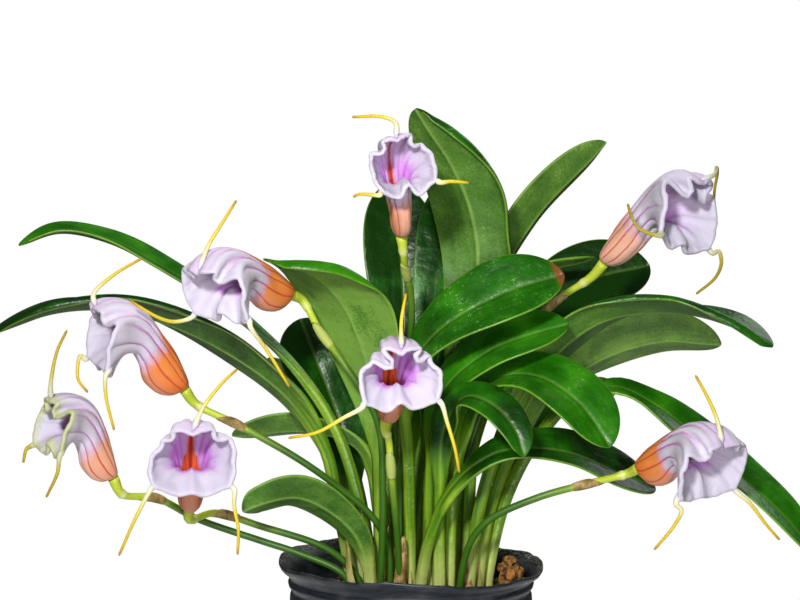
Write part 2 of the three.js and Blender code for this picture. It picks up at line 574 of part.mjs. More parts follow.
function barkLump() {
  const ball = joined(new THREE.IcosahedronGeometry(1, 1));
  const position = ball.attributes.position;
  for (let i = 0; i < position.count; i++) {
    const p = new THREE.Vector3().fromBufferAttribute(position, i).multiplyScalar(0.8 + 0.2 * mixDraw());
    position.setXYZ(i, ...p.multiply(vec(lump.radii)).add(vec(lump.at)).toArray());
  }
  return solidFrom(ball);
}

// A plain six-sided hole round a stalk.
function stalkHole([x, y], radius) {
  const around = (radius + clearance) / Math.cos(30 * degrees);
  const height = potHeight - holeBottom;
  const hole = new THREE.CylinderGeometry(around, around, height, 6).rotateX(Math.PI / 2);
  return solidFrom(hole.translate(x, y, holeBottom + height / 2));
}

function mixSolid() {
  let solid = mixBody();
  const slots = [...leaves, ...blooms].map((piece) => piece.slot);
  let placed = 0;
  while (placed < chipCount) {
    const [reach, a] = [34 * Math.sqrt(mixDraw()), mixDraw() * 2 * Math.PI];
    const [x, y] = [reach * Math.cos(a), reach * Math.sin(a)];
    if (slots.some((slot) => Math.hypot(slot[0] - x, slot[1] - y) < 7.5)) continue;
    solid = solid.add(barkChip(x, y));
    placed++;
  }
  solid = solid.add(barkLump());
  for (const leaf of leaves) solid = solid.subtract(stalkHole(leaf.slot, stalkRadius * 1.09));
  for (const bloom of blooms) solid = solid.subtract(stalkHole(bloom.slot, stemRadius));
  return solid;
}

// ---- assembly ----
const orchid = new THREE.Group();
function add(name, geometry, colour, roughness) {
  const material = new THREE.MeshStandardMaterial({ color: colour, roughness, metalness: 0 });
  const mesh = new THREE.Mesh(geometry, material);
  mesh.name = name;
  orchid.add(mesh);
}

add("nursery_pot", geometryFrom(potSolid()), 0x17191c, 0.35);
add("potting_mix", geometryFrom(mixSolid()), 0x6b4a2c, 0.95);
for (const leaf of leaves) add(leaf.name, leafGeometry(leaf), 0x2f7a1c, 0.35);
for (const bloom of blooms) {
  add(bloom.name, geometryFrom(bloomSolid(bloom)), 0xe6dcef, 0.6);
  add(bloom.name.replace("bloom", "stem"), stemGeometry(bloom), 0x5f8a24, 0.45);
}

export default orchid;
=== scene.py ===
import math
from functools import partial
import bpy
import numpy as np
from mathutils import Matrix, Vector


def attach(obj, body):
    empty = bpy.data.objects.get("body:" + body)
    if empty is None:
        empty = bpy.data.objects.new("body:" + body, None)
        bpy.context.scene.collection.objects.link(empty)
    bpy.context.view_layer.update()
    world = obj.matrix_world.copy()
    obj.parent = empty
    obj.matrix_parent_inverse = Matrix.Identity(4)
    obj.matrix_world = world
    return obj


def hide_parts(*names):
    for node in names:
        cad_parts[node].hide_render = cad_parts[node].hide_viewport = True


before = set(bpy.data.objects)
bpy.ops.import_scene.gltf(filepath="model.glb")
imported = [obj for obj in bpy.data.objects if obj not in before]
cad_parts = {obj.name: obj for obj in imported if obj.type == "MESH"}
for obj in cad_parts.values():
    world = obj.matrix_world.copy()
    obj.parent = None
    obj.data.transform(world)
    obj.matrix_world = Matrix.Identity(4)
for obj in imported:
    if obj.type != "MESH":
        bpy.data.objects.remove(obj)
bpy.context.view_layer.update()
print("frame loaded:", len(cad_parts), "nodes")

# Shapes are worked out in millimetres, in the frame's own axes, and turned to metres when a mesh is made.
millimetre = 0.001
degree = math.pi / 180


# ---- colours and nodes ----
def linear(hexColour):
    parts = [int(hexColour[i:i + 2], 16) / 255 for i in (1, 3, 5)]
    return [c / 12.92 if c <= 0.04045 else ((c + 0.055) / 1.055) ** 2.4 for c in parts] + [1]


# Adds a node: a kind in capitals is a Math node's operation. Its inputs come in order or by name, with _ for
# a space: values, hex colours, or what they are linked to. Names that start small are the node's own
# settings, and stops are a ramp's places and colours.
def addNode(tree, kind, *inputs, stops=None, **named):
    node = tree.nodes.new("ShaderNode" + ("Math" if kind.isupper() else kind))
    if kind.isupper():
        node.operation = kind
    inputs = dict(enumerate(inputs))
    for name, value in named.items():
        if name[0].isupper():
            inputs[name.replace("_", " ")] = value
        else:
            setattr(node, name, value)
    for key, value in inputs.items():
        if isinstance(value, bpy.types.Node):
            value = value.outputs["Fac" if value.type == "ATTRIBUTE" else 0]
        if isinstance(value, bpy.types.NodeSocket):
            tree.links.new(value, node.inputs[key])
        else:
            node.inputs[key].default_value = linear(value) if isinstance(value, str) else value
    if stops:
        stops = list(stops)
        elements = node.color_ramp.elements
        while len(elements) < len(stops):
            elements.new(1)
        for element, (place, colour) in zip(elements, stops):
            element.position = place
            element.color = linear(colour) if isinstance(colour, str) else (colour, colour, colour, 1)
    return node


def newMaterial(name):
    material = bpy.data.materials.new(name)
    material.use_nodes = True
    material.node_tree.nodes.clear()
    return material, partial(addNode, material.node_tree)


def attributes(add, *names):
    return {name: add("Attribute", attribute_name=name) for name in names}


# Noise with features so many mm across, where places are in metres.
def noiseOf(add, where, size, detail=2.0):
    return add("TexNoise", Vector=where, Scale=1 / (size * millimetre), Detail=detail)


# Lays colours over one another, each by its share.
def layered(add, colour, *layers):
    for share, over in layers:
        colour = add("MixRGB", share, colour, over)
    return colour


# Ends a material in its one shader.
def coated(material, add, **settings):
    add("OutputMaterial", Surface=add("BsdfPrincipled", **settings))
    return material


# ---- numbers and curves ----
def smooth(t):
    t = np.clip(t, 0, 1)
    return t * t * (3 - 2 * t)


def mix(a, b, t):
    return a + (b - a) * t


def unit(v):
    return v / np.maximum(np.linalg.norm(v, axis=-1, keepdims=True), 1e-9)


# A smooth line through listed values.
def passThrough(xs, ys, x):
    xs, ys = np.asarray(xs, float), np.asarray(ys, float)
    slope = np.gradient(ys, xs)
    i = np.clip(np.searchsorted(xs, x) - 1, 0, len(xs) - 2)
    span = xs[i + 1] - xs[i]
    t = (x - xs[i]) / span
    left = (1 + 2 * t) * (1 - t) ** 2 * ys[i] + t * (1 - t) ** 2 * span * slope[i]
    return left + t * t * (3 - 2 * t) * ys[i + 1] + t * t * (t - 1) * span * slope[i + 1]


# A bell curve round a middle: form holds the middle and the width.
def bell(x, form):
    return np.exp(-((x - form[0]) / form[1]) ** 2)


# A soft unevenness over an angle or a length: a few sine waves whose phases come from the seed.
def ripple(a, seed, waves=(1, 2, 3, 5)):
    phases = np.random.default_rng(seed).uniform(0, 2 * math.pi, len(waves))
    parts = [np.sin(a * wave + phase) / (1 + 0.35 * n) for n, (wave, phase) in enumerate(zip(waves, phases))]
    return sum(parts) / 2


# A whole turn in equal steps, in radians.
def turnIn(steps):
    return np.arange(steps) / steps * 2 * math.pi


def ringAt(radius, angle, height, centre=(0, 0)):
    x, y = centre[0] + radius * np.cos(angle), centre[1] + radius * np.sin(angle)
    return np.stack([x, y, np.broadcast_to(height, x.shape)], -1)


# The centripetal curve through points that the stalks, stems and tails follow.
def curveThrough(points):
    p = np.array(points, float)
    p = np.vstack([2 * p[0] - p[1], p, 2 * p[-1] - p[-2]])
    parts = []
    for i in range(1, len(p) - 2):
        d0, d1, d2 = np.sqrt(np.linalg.norm(np.diff(p[i - 1:i + 3], axis=0), axis=1))
        a = (p[i] - p[i - 1]) / d0 - (p[i + 1] - p[i - 1]) / (d0 + d1) + (p[i + 1] - p[i]) / d1
        b = (p[i + 1] - p[i]) / d1 - (p[i + 2] - p[i]) / (d1 + d2) + (p[i + 2] - p[i + 1]) / d2
        a, b = a * d1, b * d1
        t = np.linspace(0, 1, 40, endpoint=False)[:, None]
        square = (3 * (p[i + 1] - p[i]) - 2 * a - b) * t ** 2
        parts.append(p[i] + a * t + square + (2 * (p[i] - p[i + 1]) + a + b) * t ** 3)
    fine = np.vstack(parts + [p[-2:-1]])
    reach = np.concatenate([[0], np.cumsum(np.linalg.norm(np.diff(fine, axis=0), axis=1))])
    return {"fine": fine, "reach": reach, "length": reach[-1]}


def placesOn(curve, runs):
    reach = np.asarray(runs, float) * curve["length"]
    return np.stack([np.interp(reach, curve["reach"], curve["fine"][:, k]) for k in range(3)], 1)


def headingsOn(curve, runs):
    runs, step = np.asarray(runs, float), 0.004
    return unit(placesOn(curve, np.minimum(runs + step, 1)) - placesOn(curve, np.maximum(runs - step, 0)))


# ---- meshes ----
# Rings of equal count become a skin. layers holds one value for each point, by name.
def skinOf(rings, layers=None, caps=(True, True)):
    rings = np.asarray(rings, float)
    count, around = rings.shape[:2]
    points = rings.reshape(-1, 3)
    i, k = np.meshgrid(np.arange(count - 1), np.arange(around), indexing="ij")
    onward = (k + 1) % around
    corners = [i * around + k, i * around + onward, (i + 1) * around + onward, (i + 1) * around + k]
    faces = np.stack(corners, -1).reshape(-1, 4).tolist()
    values = {name: np.broadcast_to(v, (count, around)).reshape(-1) for name, v in (layers or {}).items()}
    for capped, row in zip(caps, (0, count - 1)):
        if not capped:
            continue
        middle = len(points)
        points = np.vstack([points, rings[row].mean(0)])
        for name, v in values.items():
            values[name] = np.append(v, v[row * around:(row + 1) * around].mean())
        for n in range(around):
            a, b = row * around + n, row * around + (n + 1) % around
            faces.append([a, b, middle] if row else [b, a, middle])
    return {"points": points, "faces": faces, "values": values}


# A round rod along a curve. The frame is carried along, so it doesn't twist.
def rodRings(curve, runs, radii, sides):
    places, headings = placesOn(curve, runs), headingsOn(curve, runs)
    first = headings[0]
    normal = np.cross([first[2], first[0], first[1]], first)
    rings = []
    turn = turnIn(sides)
    for place, heading, radius in zip(places, headings, np.broadcast_to(radii, len(places))):
        normal = unit(normal - heading * np.dot(normal, heading))
        across = np.cross(heading, normal)
        rings.append(place + radius * (np.outer(np.cos(turn), normal) + np.outer(np.sin(turn), across)))
    return np.array(rings)


# One piece from its skins: it rides in the pot, takes its material and may stand for CAD nodes.
def addPiece(name, skins, material, nodes=()):
    points, faces, offset = [], [], 0
    names = sorted({layer for skin in skins for layer in skin["values"]})
    layers = {layer: [] for layer in names}
    for skin in skins:
        points.append(skin["points"])
        faces += [[corner + offset for corner in face] for face in skin["faces"]]
        offset += len(skin["points"])
        for layer in names:
            layers[layer].append(skin["values"].get(layer, np.zeros(len(skin["points"]))))
    mesh = bpy.data.meshes.new(name)
    mesh.from_pydata((np.vstack(points) * millimetre).tolist(), [], faces)
    for layer in names:
        mesh.attributes.new(layer, "FLOAT", "POINT").data.foreach_set("value", np.concatenate(layers[layer]))
    mesh.shade_smooth()
    mesh.materials.append(material)
    piece = bpy.data.objects.new(name, mesh)
    bpy.context.scene.collection.objects.link(piece)
    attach(piece, "root")
    if nodes:
        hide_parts(*nodes)
    return piece


# ---- leaves ----
# Orchid leaf, grown: a thick waxy skin, glossy and dark above, paler and finely mottled below, with fine
# parallel veins, a pale keel under the midrib and a thin light edge. Lime water dries on it in white marks.
leafLook = {
    "upper": ("#0C3401", "#1A5E01", "#388804"),
    # The darkest under colour is painted shade: it gives leaves with a low tone, as leaf_07, a shaded, near
    # black underside.
    "under": ("#1B2E0D", "#3C661C", "#537F26", "#6E9838"),
    "stalk": ("#3A6A0C", "#6C9218", "#98B632"),
    "stalkFoot": "#BFC672",
    "midrib": "#7FA548",
    "edge": "#8FB83C",
    "marks": "#B4C6A0",
    "dry": "#7A4A20",
    "cloud": 14,  # mm across the soft darker and lighter patches
    "quilt": 5,  # mm between the shallow swellings
    "cell": 0.9,  # mm, the mottling; real cells are finer, and drawn coarser so that they show
    "vein": 1.7,  # mm between veins
    "fleck": 1 / 0.85,  # mm across a water mark
    "rough": (0.26, 0.5),  # above and below
}


def leafCuticle(look):
    material, add = newMaterial("waxy_leaf_cuticle_grown")
    value = attributes(add, "leafX", "leafY", "lane", "under", "stalk", "foot", "scuff", "tone", "dry")
    spot = add("CombineXYZ", value["leafX"], value["leafY"], value["tone"])
    cloud = add("TexNoise", Vector=spot, Scale=1 / look["cloud"], Detail=4.0)
    cell = add("TexNoise", Vector=spot, Scale=1 / look["cell"], Detail=3.0)
    # Veins run along the leaf: noise drawn out lengthwise, spaced as the veins are.
    drawn = add("VectorMath", spot, (1 / look["vein"], 0.025, 1.0), operation="MULTIPLY")
    vein = add("TexNoise", Vector=drawn, Scale=1.0, Detail=2.0)
    light = add("ADD", cloud, value["tone"])
    veined = add("MULTIPLY_ADD", vein, 0.22, light)
    upper = add("ValToRGB", veined, stops=zip((0.35, 0.62, 0.95), look["upper"]))
    mottled = add("MULTIPLY_ADD", cell, 0.5, veined)
    under = add("ValToRGB", mottled, stops=zip((0.2, 0.6, 0.86, 1.0), look["under"]))
    # The midrib's keel shows pale below, and only faintly above.
    offMiddle = add("ABSOLUTE", value["leafX"])
    midrib = add("MapRange", offMiddle, 0.15, 1.0, 1.0, 0.0)
    side = add("MapRange", value["under"], 0.0, 1.0, 0.25, 0.75)
    ribbed = add("MULTIPLY", midrib, side)
    offLane = add("ABSOLUTE", value["lane"])
    rim = add("MapRange", offLane, 0.965, 1.0, 0.0, 0.45)
    streaks = add("ValToRGB", vein, stops=zip((0.3, 0.5, 0.75), look["stalk"]))
    stalk = add("MixRGB", value["foot"], streaks, look["stalkFoot"])
    # Water marks: broken flecks, thicker in some places than in others.
    fleck = add("TexNoise", Vector=spot, Scale=1 / look["fleck"], Detail=6.0, Distortion=1.6)
    patchy = add("MapRange", fleck, 0.6, 0.7)
    gathered = add("MapRange", cloud, 0.42, 0.62, 0.08, 0.75)
    patchy = add("MULTIPLY", patchy, gathered)
    marks = add("MULTIPLY", patchy, value["scuff"], use_clamp=True)
    face = layered(add, upper, (value["under"], under), (ribbed, look["midrib"]), (rim, look["edge"]),
                   (value["stalk"], stalk), (marks, look["marks"]), (value["dry"], look["dry"]))
    gloss = add("MapRange", value["under"], 0.0, 1.0, *look["rough"])
    gloss = add("MULTIPLY_ADD", cloud, 0.16, gloss)
    # The skin is quilted a little between its veins.
    quilt = add("TexNoise", Vector=spot, Scale=1 / look["quilt"], Detail=2.0)
    quilted = add("Bump", Strength=0.5, Distance=0.0012, Height=quilt)
    height = add("MULTIPLY_ADD", vein, 0.6, cell)
    bump = add("Bump", Strength=0.22, Distance=0.0004, Height=height, Normal=quilted)
    return coated(material, add, Base_Color=face, Roughness=gloss, IOR=1.45, Normal=bump)


uprightHeights = (52.35, 62, 70, 74)  # where every stalk and stem stands upright in the mix
stalkRadius = 2.0
bladeMiddle = 1.7
bladeEdge = 0.7
grooveForm = {"depth": 0.45, "width": 0.8}  # mm, along the middle above
keelForm = {"depth": 0.4, "width": 0.9}  # mm, along the middle below
waveLength = 11
stalkRings = 20
bladeRings = 58
# slot: where the stalk stands in the mix; points: its way up from there and along the blade's middle, in mm;
# faces: where the upper face looks at the blade's start and end. stalk: the stalk's share of the length;
# fold and roll: how the blade's sides rise and its margins drop, as shares of its half width; wave, in mm.
# curl: on which side a margin rolls under (1 or -1), over how many mm, through how many degrees, from which
# share of the blade on. tone: lighter or darker, leaf by leaf, and on leaf_07 and leaf_25 painted shade;
# scuff: how many water marks; dry: a dead tip.
leafBasics = {"width": 24, "stalk": 0.38, "fold": 0.28, "roll": 0.06, "tone": 0.0, "scuff": 0.12, "dry": 0.0,
              "wave": 0.45, "curl": (1, 1, 0, 0)}
leaves = [
    dict(name="leaf_01_tall", slot=(10, -5), width=31, stalk=0.4, fold=0.18, scuff=0.5, tone=-0.1,
         curl=(-1, 5.5, 125, 0.35),
         points=[[13, -6, 120], [19, -6, 160], [24, -6, 192], [21, -9, 211], [14.5, -14, 226],
                 [7.5, -19, 236.5], [1.5, -23, 245]], faces=([0.1, 1, 0.2], [0.3, 0.6, 0.8])),
    dict(name="leaf_02_upper_right", slot=(20.5, 1), width=20, stalk=0.45, fold=0.5, scuff=0.3, tone=-0.15,
         points=[[22, 4, 120], [28.5, 14, 175], [44.5, 20, 205], [72, 24, 234]],
         faces=([-0.6, 0.6, 0.4], [-0.6, 0.6, 0.6])),
    dict(name="leaf_03_back_left", slot=(-4, 7), width=27, stalk=0.42, tone=-0.2,
         points=[[-4, 10, 120], [-2.5, 18, 165], [-4, 26, 196], [-7, 36, 219]],
         faces=([0.1, -1, 0.2], [0.1, -1, 0.4])),
    dict(name="leaf_04_back_middle", slot=(3, 7), width=24, stalk=0.42,
         points=[[6, 10, 120], [11, 11, 165], [14, 15, 195], [13, 20, 219]],
         faces=([0, -1, 0.2], [-0.1, -1, 0.4])),
    dict(name="leaf_05_left_broad", slot=(-11, -5), width=37, stalk=0.42, fold=0.16, tone=0.2,
         curl=(-1, 5, 110, 0.5),
         points=[[-11.5, -8, 112], [-13, -9, 141.5], [-17, -9, 160], [-23, -12, 175], [-34, -21, 187.5],
                 [-49, -33, 192.5]], faces=([0.2, 1, 0.3], [0.2, 0.2, 1])),
    dict(name="leaf_06_far_left_high", slot=(-14.5, 1), width=16, stalk=0.4, tone=0.12,
         points=[[-19, 3, 104], [-28, 4, 131], [-44, 5, 154], [-66, 4, 173], [-90, 4, 188.5],
                 [-109, 2, 198.5], [-126.5, -2, 202], [-140, -6, 197]],
         faces=([0.6, -0.2, 0.8], [-0.2, -0.25, 1])),
    # leaf_07's low tone is painted shade: it darkens the whole leaf, underside and all, as the shadow of
    # bloom_2 and the grazing light would.
    dict(name="leaf_07_far_left_low", slot=(-21.5, 1), width=33, stalk=0.34, tone=-0.4,
         curl=(-1, 4, 110, 0.1),
         points=[[-27, -3, 106], [-31, -6, 124], [-42, -8, 141.5], [-61, -8, 156.5], [-86, -6, 169],
                 [-108, -6, 174.5], [-128, -8, 173.5], [-150, -10, 165.5]],
         faces=([0.4, 0.8, 0.6], [0, -0.02, 1])),
    dict(name="leaf_08_left_level", slot=(-11, 7), width=18, stalk=0.5,
         points=[[-12, 10, 100], [-18, 15, 121], [-38, 18, 128], [-66, 17, 126]],
         faces=([0, 0.5, 0.9], [0, 0.5, 0.9])),
    dict(name="leaf_09_lower_left", slot=(-14.5, -11), width=18, stalk=0.3, tone=-0.2,
         points=[[-15.5, -13, 84], [-19, -17, 94], [-28, -23, 104], [-40, -30, 110.5], [-52, -35, 109],
                 [-58.5, -36, 106]], faces=([0.2, 0.8, 0.4], [0.1, 0.7, 0.7])),
    dict(name="leaf_10_front_glossy", slot=(-0.5, -11), width=27, stalk=0.5, scuff=0.9, dry=1.0,
         points=[[-1, -14, 120], [-2, -20, 148], [8, -27, 166], [30, -29, 180], [53, -27, 187.5]],
         faces=([-0.6, -0.5, 0.6], [-0.35, -0.8, 0.6])),
    dict(name="leaf_11_front_bright", slot=(6.5, -11), width=23, stalk=0.48, tone=0.15,
         points=[[7, -13, 115], [10, -18, 143], [27, -23, 160], [55, -24, 170]],
         faces=([-0.5, -0.5, 0.6], [-0.3, -0.6, 0.8])),
    dict(name="leaf_12_front_right", slot=(13.5, -11), width=24, stalk=0.45, scuff=0.4, tone=0.02,
         points=[[15, -12, 110], [20, -15, 137], [29, -20, 149.5], [43, -28, 152], [57.5, -36, 143.5],
                 [68, -42, 129]], faces=([0, -0.4, 0.9], [0.2, -0.7, 0.7])),
    dict(name="leaf_13_front_short", slot=(10, -17), width=14, stalk=0.45, tone=-0.05,
         points=[[10, -20, 108], [11.5, -27, 132], [19, -37, 145.5], [28.5, -45, 143], [35, -50, 135.5],
                 [38, -52, 127]], faces=([0, -0.5, 0.8], [0.3, -0.8, 0.5])),
    dict(name="leaf_14_far_right_high", slot=(20.5, -11), width=31, stalk=0.4, tone=-0.1,
         curl=(1, 4, 110, 0.3),
         points=[[26, -11, 110], [40, -9, 145], [66, -8, 169.5], [92, -10, 174], [112, -17, 170],
                 [126.5, -23, 162]], faces=([-0.4, 0.8, 0.6], [0.35, -0.1, 0.9])),
    dict(name="leaf_15_far_right_low", slot=(24, -5), width=35, stalk=0.4,
         points=[[30, 1, 105], [44, 9, 134], [66, 21.5, 152], [92, 20.5, 161], [114, 15, 160]],
         faces=([-0.4, 0.6, 0.7], [0.1, 0.5, 0.9])),
    dict(name="leaf_16_back_round", slot=(17, 13), width=30, stalk=0.5, scuff=0.15, tone=-0.25,
         points=[[22, 24, 116], [36, 38, 150], [62, 50, 178.5], [92, 56, 187]],
         faces=([-0.4, -0.5, 0.8], [0.1, -0.8, 0.6])),
    dict(name="leaf_17_back_right", slot=(10, 7), width=16, stalk=0.5,
         points=[[15, 15, 120], [25, 26, 160], [44, 32, 184], [69, 32, 191]],
         faces=([-0.4, 0.2, 0.9], [0, 0.1, 1])),
    dict(name="leaf_18_long_right", slot=(27.5, 1), width=22, stalk=0.36, tone=0.08,
         points=[[34, 2, 103], [46, 1, 127], [60, 0, 142], [74, -5, 145.5], [87, -6, 139.5], [99, -10, 130.5],
                 [114.5, -16, 117], [130, -24, 102.5], [143, -28, 87]],
         faces=([-0.3, -0.2, 0.9], [0.6, -0.5, 0.6])),
    dict(name="leaf_19_lower_right", slot=(3, -17), width=22, stalk=0.35, tone=-0.1,
         points=[[7, -23, 96], [16, -28, 114], [30, -29, 125], [51, -22, 125], [71, -11, 117], [88, -3, 109]],
         faces=([-0.3, -0.4, 0.8], [0.2, -0.6, 0.8])),
    dict(name="leaf_20_rear", slot=(-14.5, 13),
         points=[[-20, 28, 105], [-32, 50, 138], [-44, 80, 146], [-50, 102, 134]],
         faces=([0, -0.4, 0.9], [0, 0.3, 1])),
    dict(name="leaf_21_rear", slot=(-7.5, 13),
         points=[[-9, 28, 116], [-11.5, 49, 154], [-18, 72, 176], [-20, 98, 174]],
         faces=([0, -0.6, 0.8], [0, 0, 1])),
    dict(name="leaf_22_rear", slot=(-0.5, 13),
         points=[[2, 24, 110], [6, 46, 146], [8, 76, 160], [8, 104, 150]],
         faces=([0, -0.5, 0.8], [0, 0.3, 1])),
    dict(name="leaf_23_rear", slot=(6.5, 13),
         points=[[12, 22, 105], [22, 44, 132], [36, 72, 138], [46, 92, 124]],
         faces=([-0.1, -0.5, 0.8], [0.3, 0.4, 0.9])),
    dict(name="leaf_24_rear", slot=(24, 7),
         points=[[32, 18, 105], [46, 36, 132], [64, 58, 142], [78, 72, 134]],
         faces=([-0.3, -0.4, 0.9], [0.2, 0.2, 1])),
    # leaf_25's low tone is painted shade: it darkens this rear leaf as the deep shade among the stalks behind
    # would.
    dict(name="leaf_25_rear", slot=(-18, 7), width=28, tone=-0.3,
         points=[[-22, 16, 98], [-26, 33, 125], [-35, 38, 150], [-42, 46, 167]],
         faces=([0.3, -0.5, 0.8], [-0.2, -0.3, 1])),
]
laneSteps = [0, 0.035, 0.08, 0.17, 0.3, 0.45, 0.6, 0.7, 0.77, 0.83, 0.88, 0.925, 0.965, 1]
leafLanes = np.array([-lane for lane in laneSteps[:0:-1]] + laneSteps)


def stalkCurve(slot, points):
    upright = [[slot[0], slot[1], z] for z in uprightHeights]
    return curveThrough(upright + points)


# The blade is broadest past its middle and closes in a short point.
def leafHalfWidth(leaf, t):
    blade = t ** 1.1 * np.clip(1 - t ** 3.2, 0, 1) ** 0.62 / 0.508
    return np.maximum(0.3, stalkRadius * (1 - t) + (leaf["width"] / 2 - stalkRadius * 0.4) * blade)


def leafSkin(leaf, seed):
    curve = stalkCurve(leaf["slot"], leaf["points"])
    stalkRuns = np.linspace(0, leaf["stalk"], stalkRings)
    bladeRuns = leaf["stalk"] + (1 - leaf["stalk"]) * (1 - (1 - np.linspace(0, 1, bladeRings)[1:]) ** 1.35)
    runs = np.concatenate([stalkRuns, bladeRuns])
    t = np.clip((runs - leaf["stalk"]) / (1 - leaf["stalk"]), 0, 1)[:, None]
    places, headings = placesOn(curve, runs), headingsOn(curve, runs)
    face = mix(*np.array(leaf["faces"], float), smooth(t))
    side = unit(np.cross(headings, face))
    up = unit(np.cross(side, headings))
    half = leafHalfWidth(leaf, t)
    bladeShare = smooth(t / 0.36)
    middleHalf = mix(stalkRadius, bladeMiddle / 2, bladeShare) * mix(1, 0.5, smooth((t - 0.9) / 0.1))
    edgeHalf = mix(stalkRadius * 0.42, bladeEdge / 2, bladeShare) * mix(1, 0.6, smooth((t - 0.94) / 0.06))
    lane = np.concatenate([leafLanes, [1], leafLanes[::-1], [-1]])[None, :]
    count = len(leafLanes)
    sense = np.concatenate([np.ones(count), [0], -np.ones(count), [0]])[None, :]
    across = lane * half + np.where(sense == 0, lane * edgeHalf * 0.6, 0)
    along = (runs * curve["length"])[:, None]
    rise = (leaf["fold"] * np.abs(lane) ** 1.4 - leaf["roll"] * lane ** 4) * bladeShare * half
    waves = ripple(along / waveLength + np.where(lane > 0, 1.7, 0), seed, (0.5, 1, 1.7))
    rise = rise + leaf["wave"] * waves * np.abs(lane) ** 2.5 * bladeShare * smooth(half / 8)
    thick = edgeHalf + (middleHalf - edgeHalf) * np.sqrt(1 - lane * lane)
    groove, keel = (form["depth"] * bell(across, (0, form["width"])) * bladeShare * smooth(half / 4)
                    for form in (grooveForm, keelForm))
    through = sense * thick - np.where(sense > 0, groove, 0) - np.where(sense < 0, keel, 0)
    # A rolled margin bends round below the blade, and its thickness turns with it.
    curlSide, curlWidth, curlTurn, curlFrom = leaf["curl"]
    width = np.minimum(curlWidth, half * 0.7)
    turned = curlTurn * degree * smooth((t - curlFrom) / 0.25) * (0.8 + 0.2 * np.sin(along / 7)) + 1e-6
    bend = np.clip((across * curlSide - half) / width + 1, 0, None) * turned
    radius = width / turned
    shift = np.where(bend > 0, radius * np.sin(bend) - (across * curlSide - half + width), 0) * curlSide
    drop = radius * (1 - np.cos(bend))
    inPlane = across + shift + through * np.sin(bend) * curlSide
    lift = rise - drop + through * np.cos(bend)
    rings = places[:, None] + inPlane[..., None] * side[:, None] + lift[..., None] * up[:, None]
    height = rings[..., 2]
    layers = {
        "leafX": across, "leafY": along, "lane": lane * smooth(half / 3), "under": (sense < 0) * 1.0,
        "stalk": 1 - smooth((t - 0.02) / 0.22), "foot": 1 - smooth((height - 68) / 30),
        "scuff": leaf["scuff"], "tone": leaf["tone"] + 0.08 * math.sin(seed * 2.4),
        "dry": leaf["dry"] * smooth((t - 0.955) / 0.02),
    }
    return skinOf(rings, layers)


cuticle = leafCuticle(leafLook)
for number, row in enumerate(leaves):
    leaf = {**leafBasics, **row}
    addPiece(leaf["name"] + "_blade", [leafSkin(leaf, number)], cuticle, [leaf["name"]])
print("leaves:", len(leaves))


# ---- blooms ----
# Sepal tissue, grown: fleshy, matt and finely beaded, so it scatters light softly. Orange and veined over the
# tube, lilac to white over the lobes, violet inside them and red deep in the throat; the tails are yellow.
bloomLook = {
    "foot": "#CDB023", "tube": "#D96C28", "tubeLight": "#E98A42", "tubeRidge": "#A8442A", "chin": "#D88F6E",
    "palePink": "#E6BFAC", "white": "#D8D0E0", "lilac": "#D0B2DA", "veins": ("#C24C3A", "#B848A6"),
    "rim": "#D0C9DA", "lavender": "#D6C6E0", "violet": "#D48CE4", "throat": ("#F07038", "#B42E1C"),
    # ceiling is the roof's greyer lavender: partly its own colour, partly painted shade from the hood.
    "ceiling": "#CDB2D0", "ceilingLine": "#A8202C", "green": "#C0C87C",
    "tail": ("#EFECEC", "#EAE6C4", "#E4D044", "#DFBC16", "#B98A1C"),
    "oliveTail": ("#E9EAE4", "#CFD2B0", "#B5A62E", "#A88C18"),
    "stripes": 15,  # dark lines on each side of the throat
    "veinLine": (0.022, 0.006),  # half its width with its soft edges and without, as shares of a half turn
    "bead": 0.45,  # mm across a bead of the surface; real ones are finer, and drawn coarser so that they show
    "rough": 0.55,
}
veinPlaces = [0, 0.12, 0.24, 0.38, 0.57, 0.78]  # round the tube, as shares of a half turn from its back


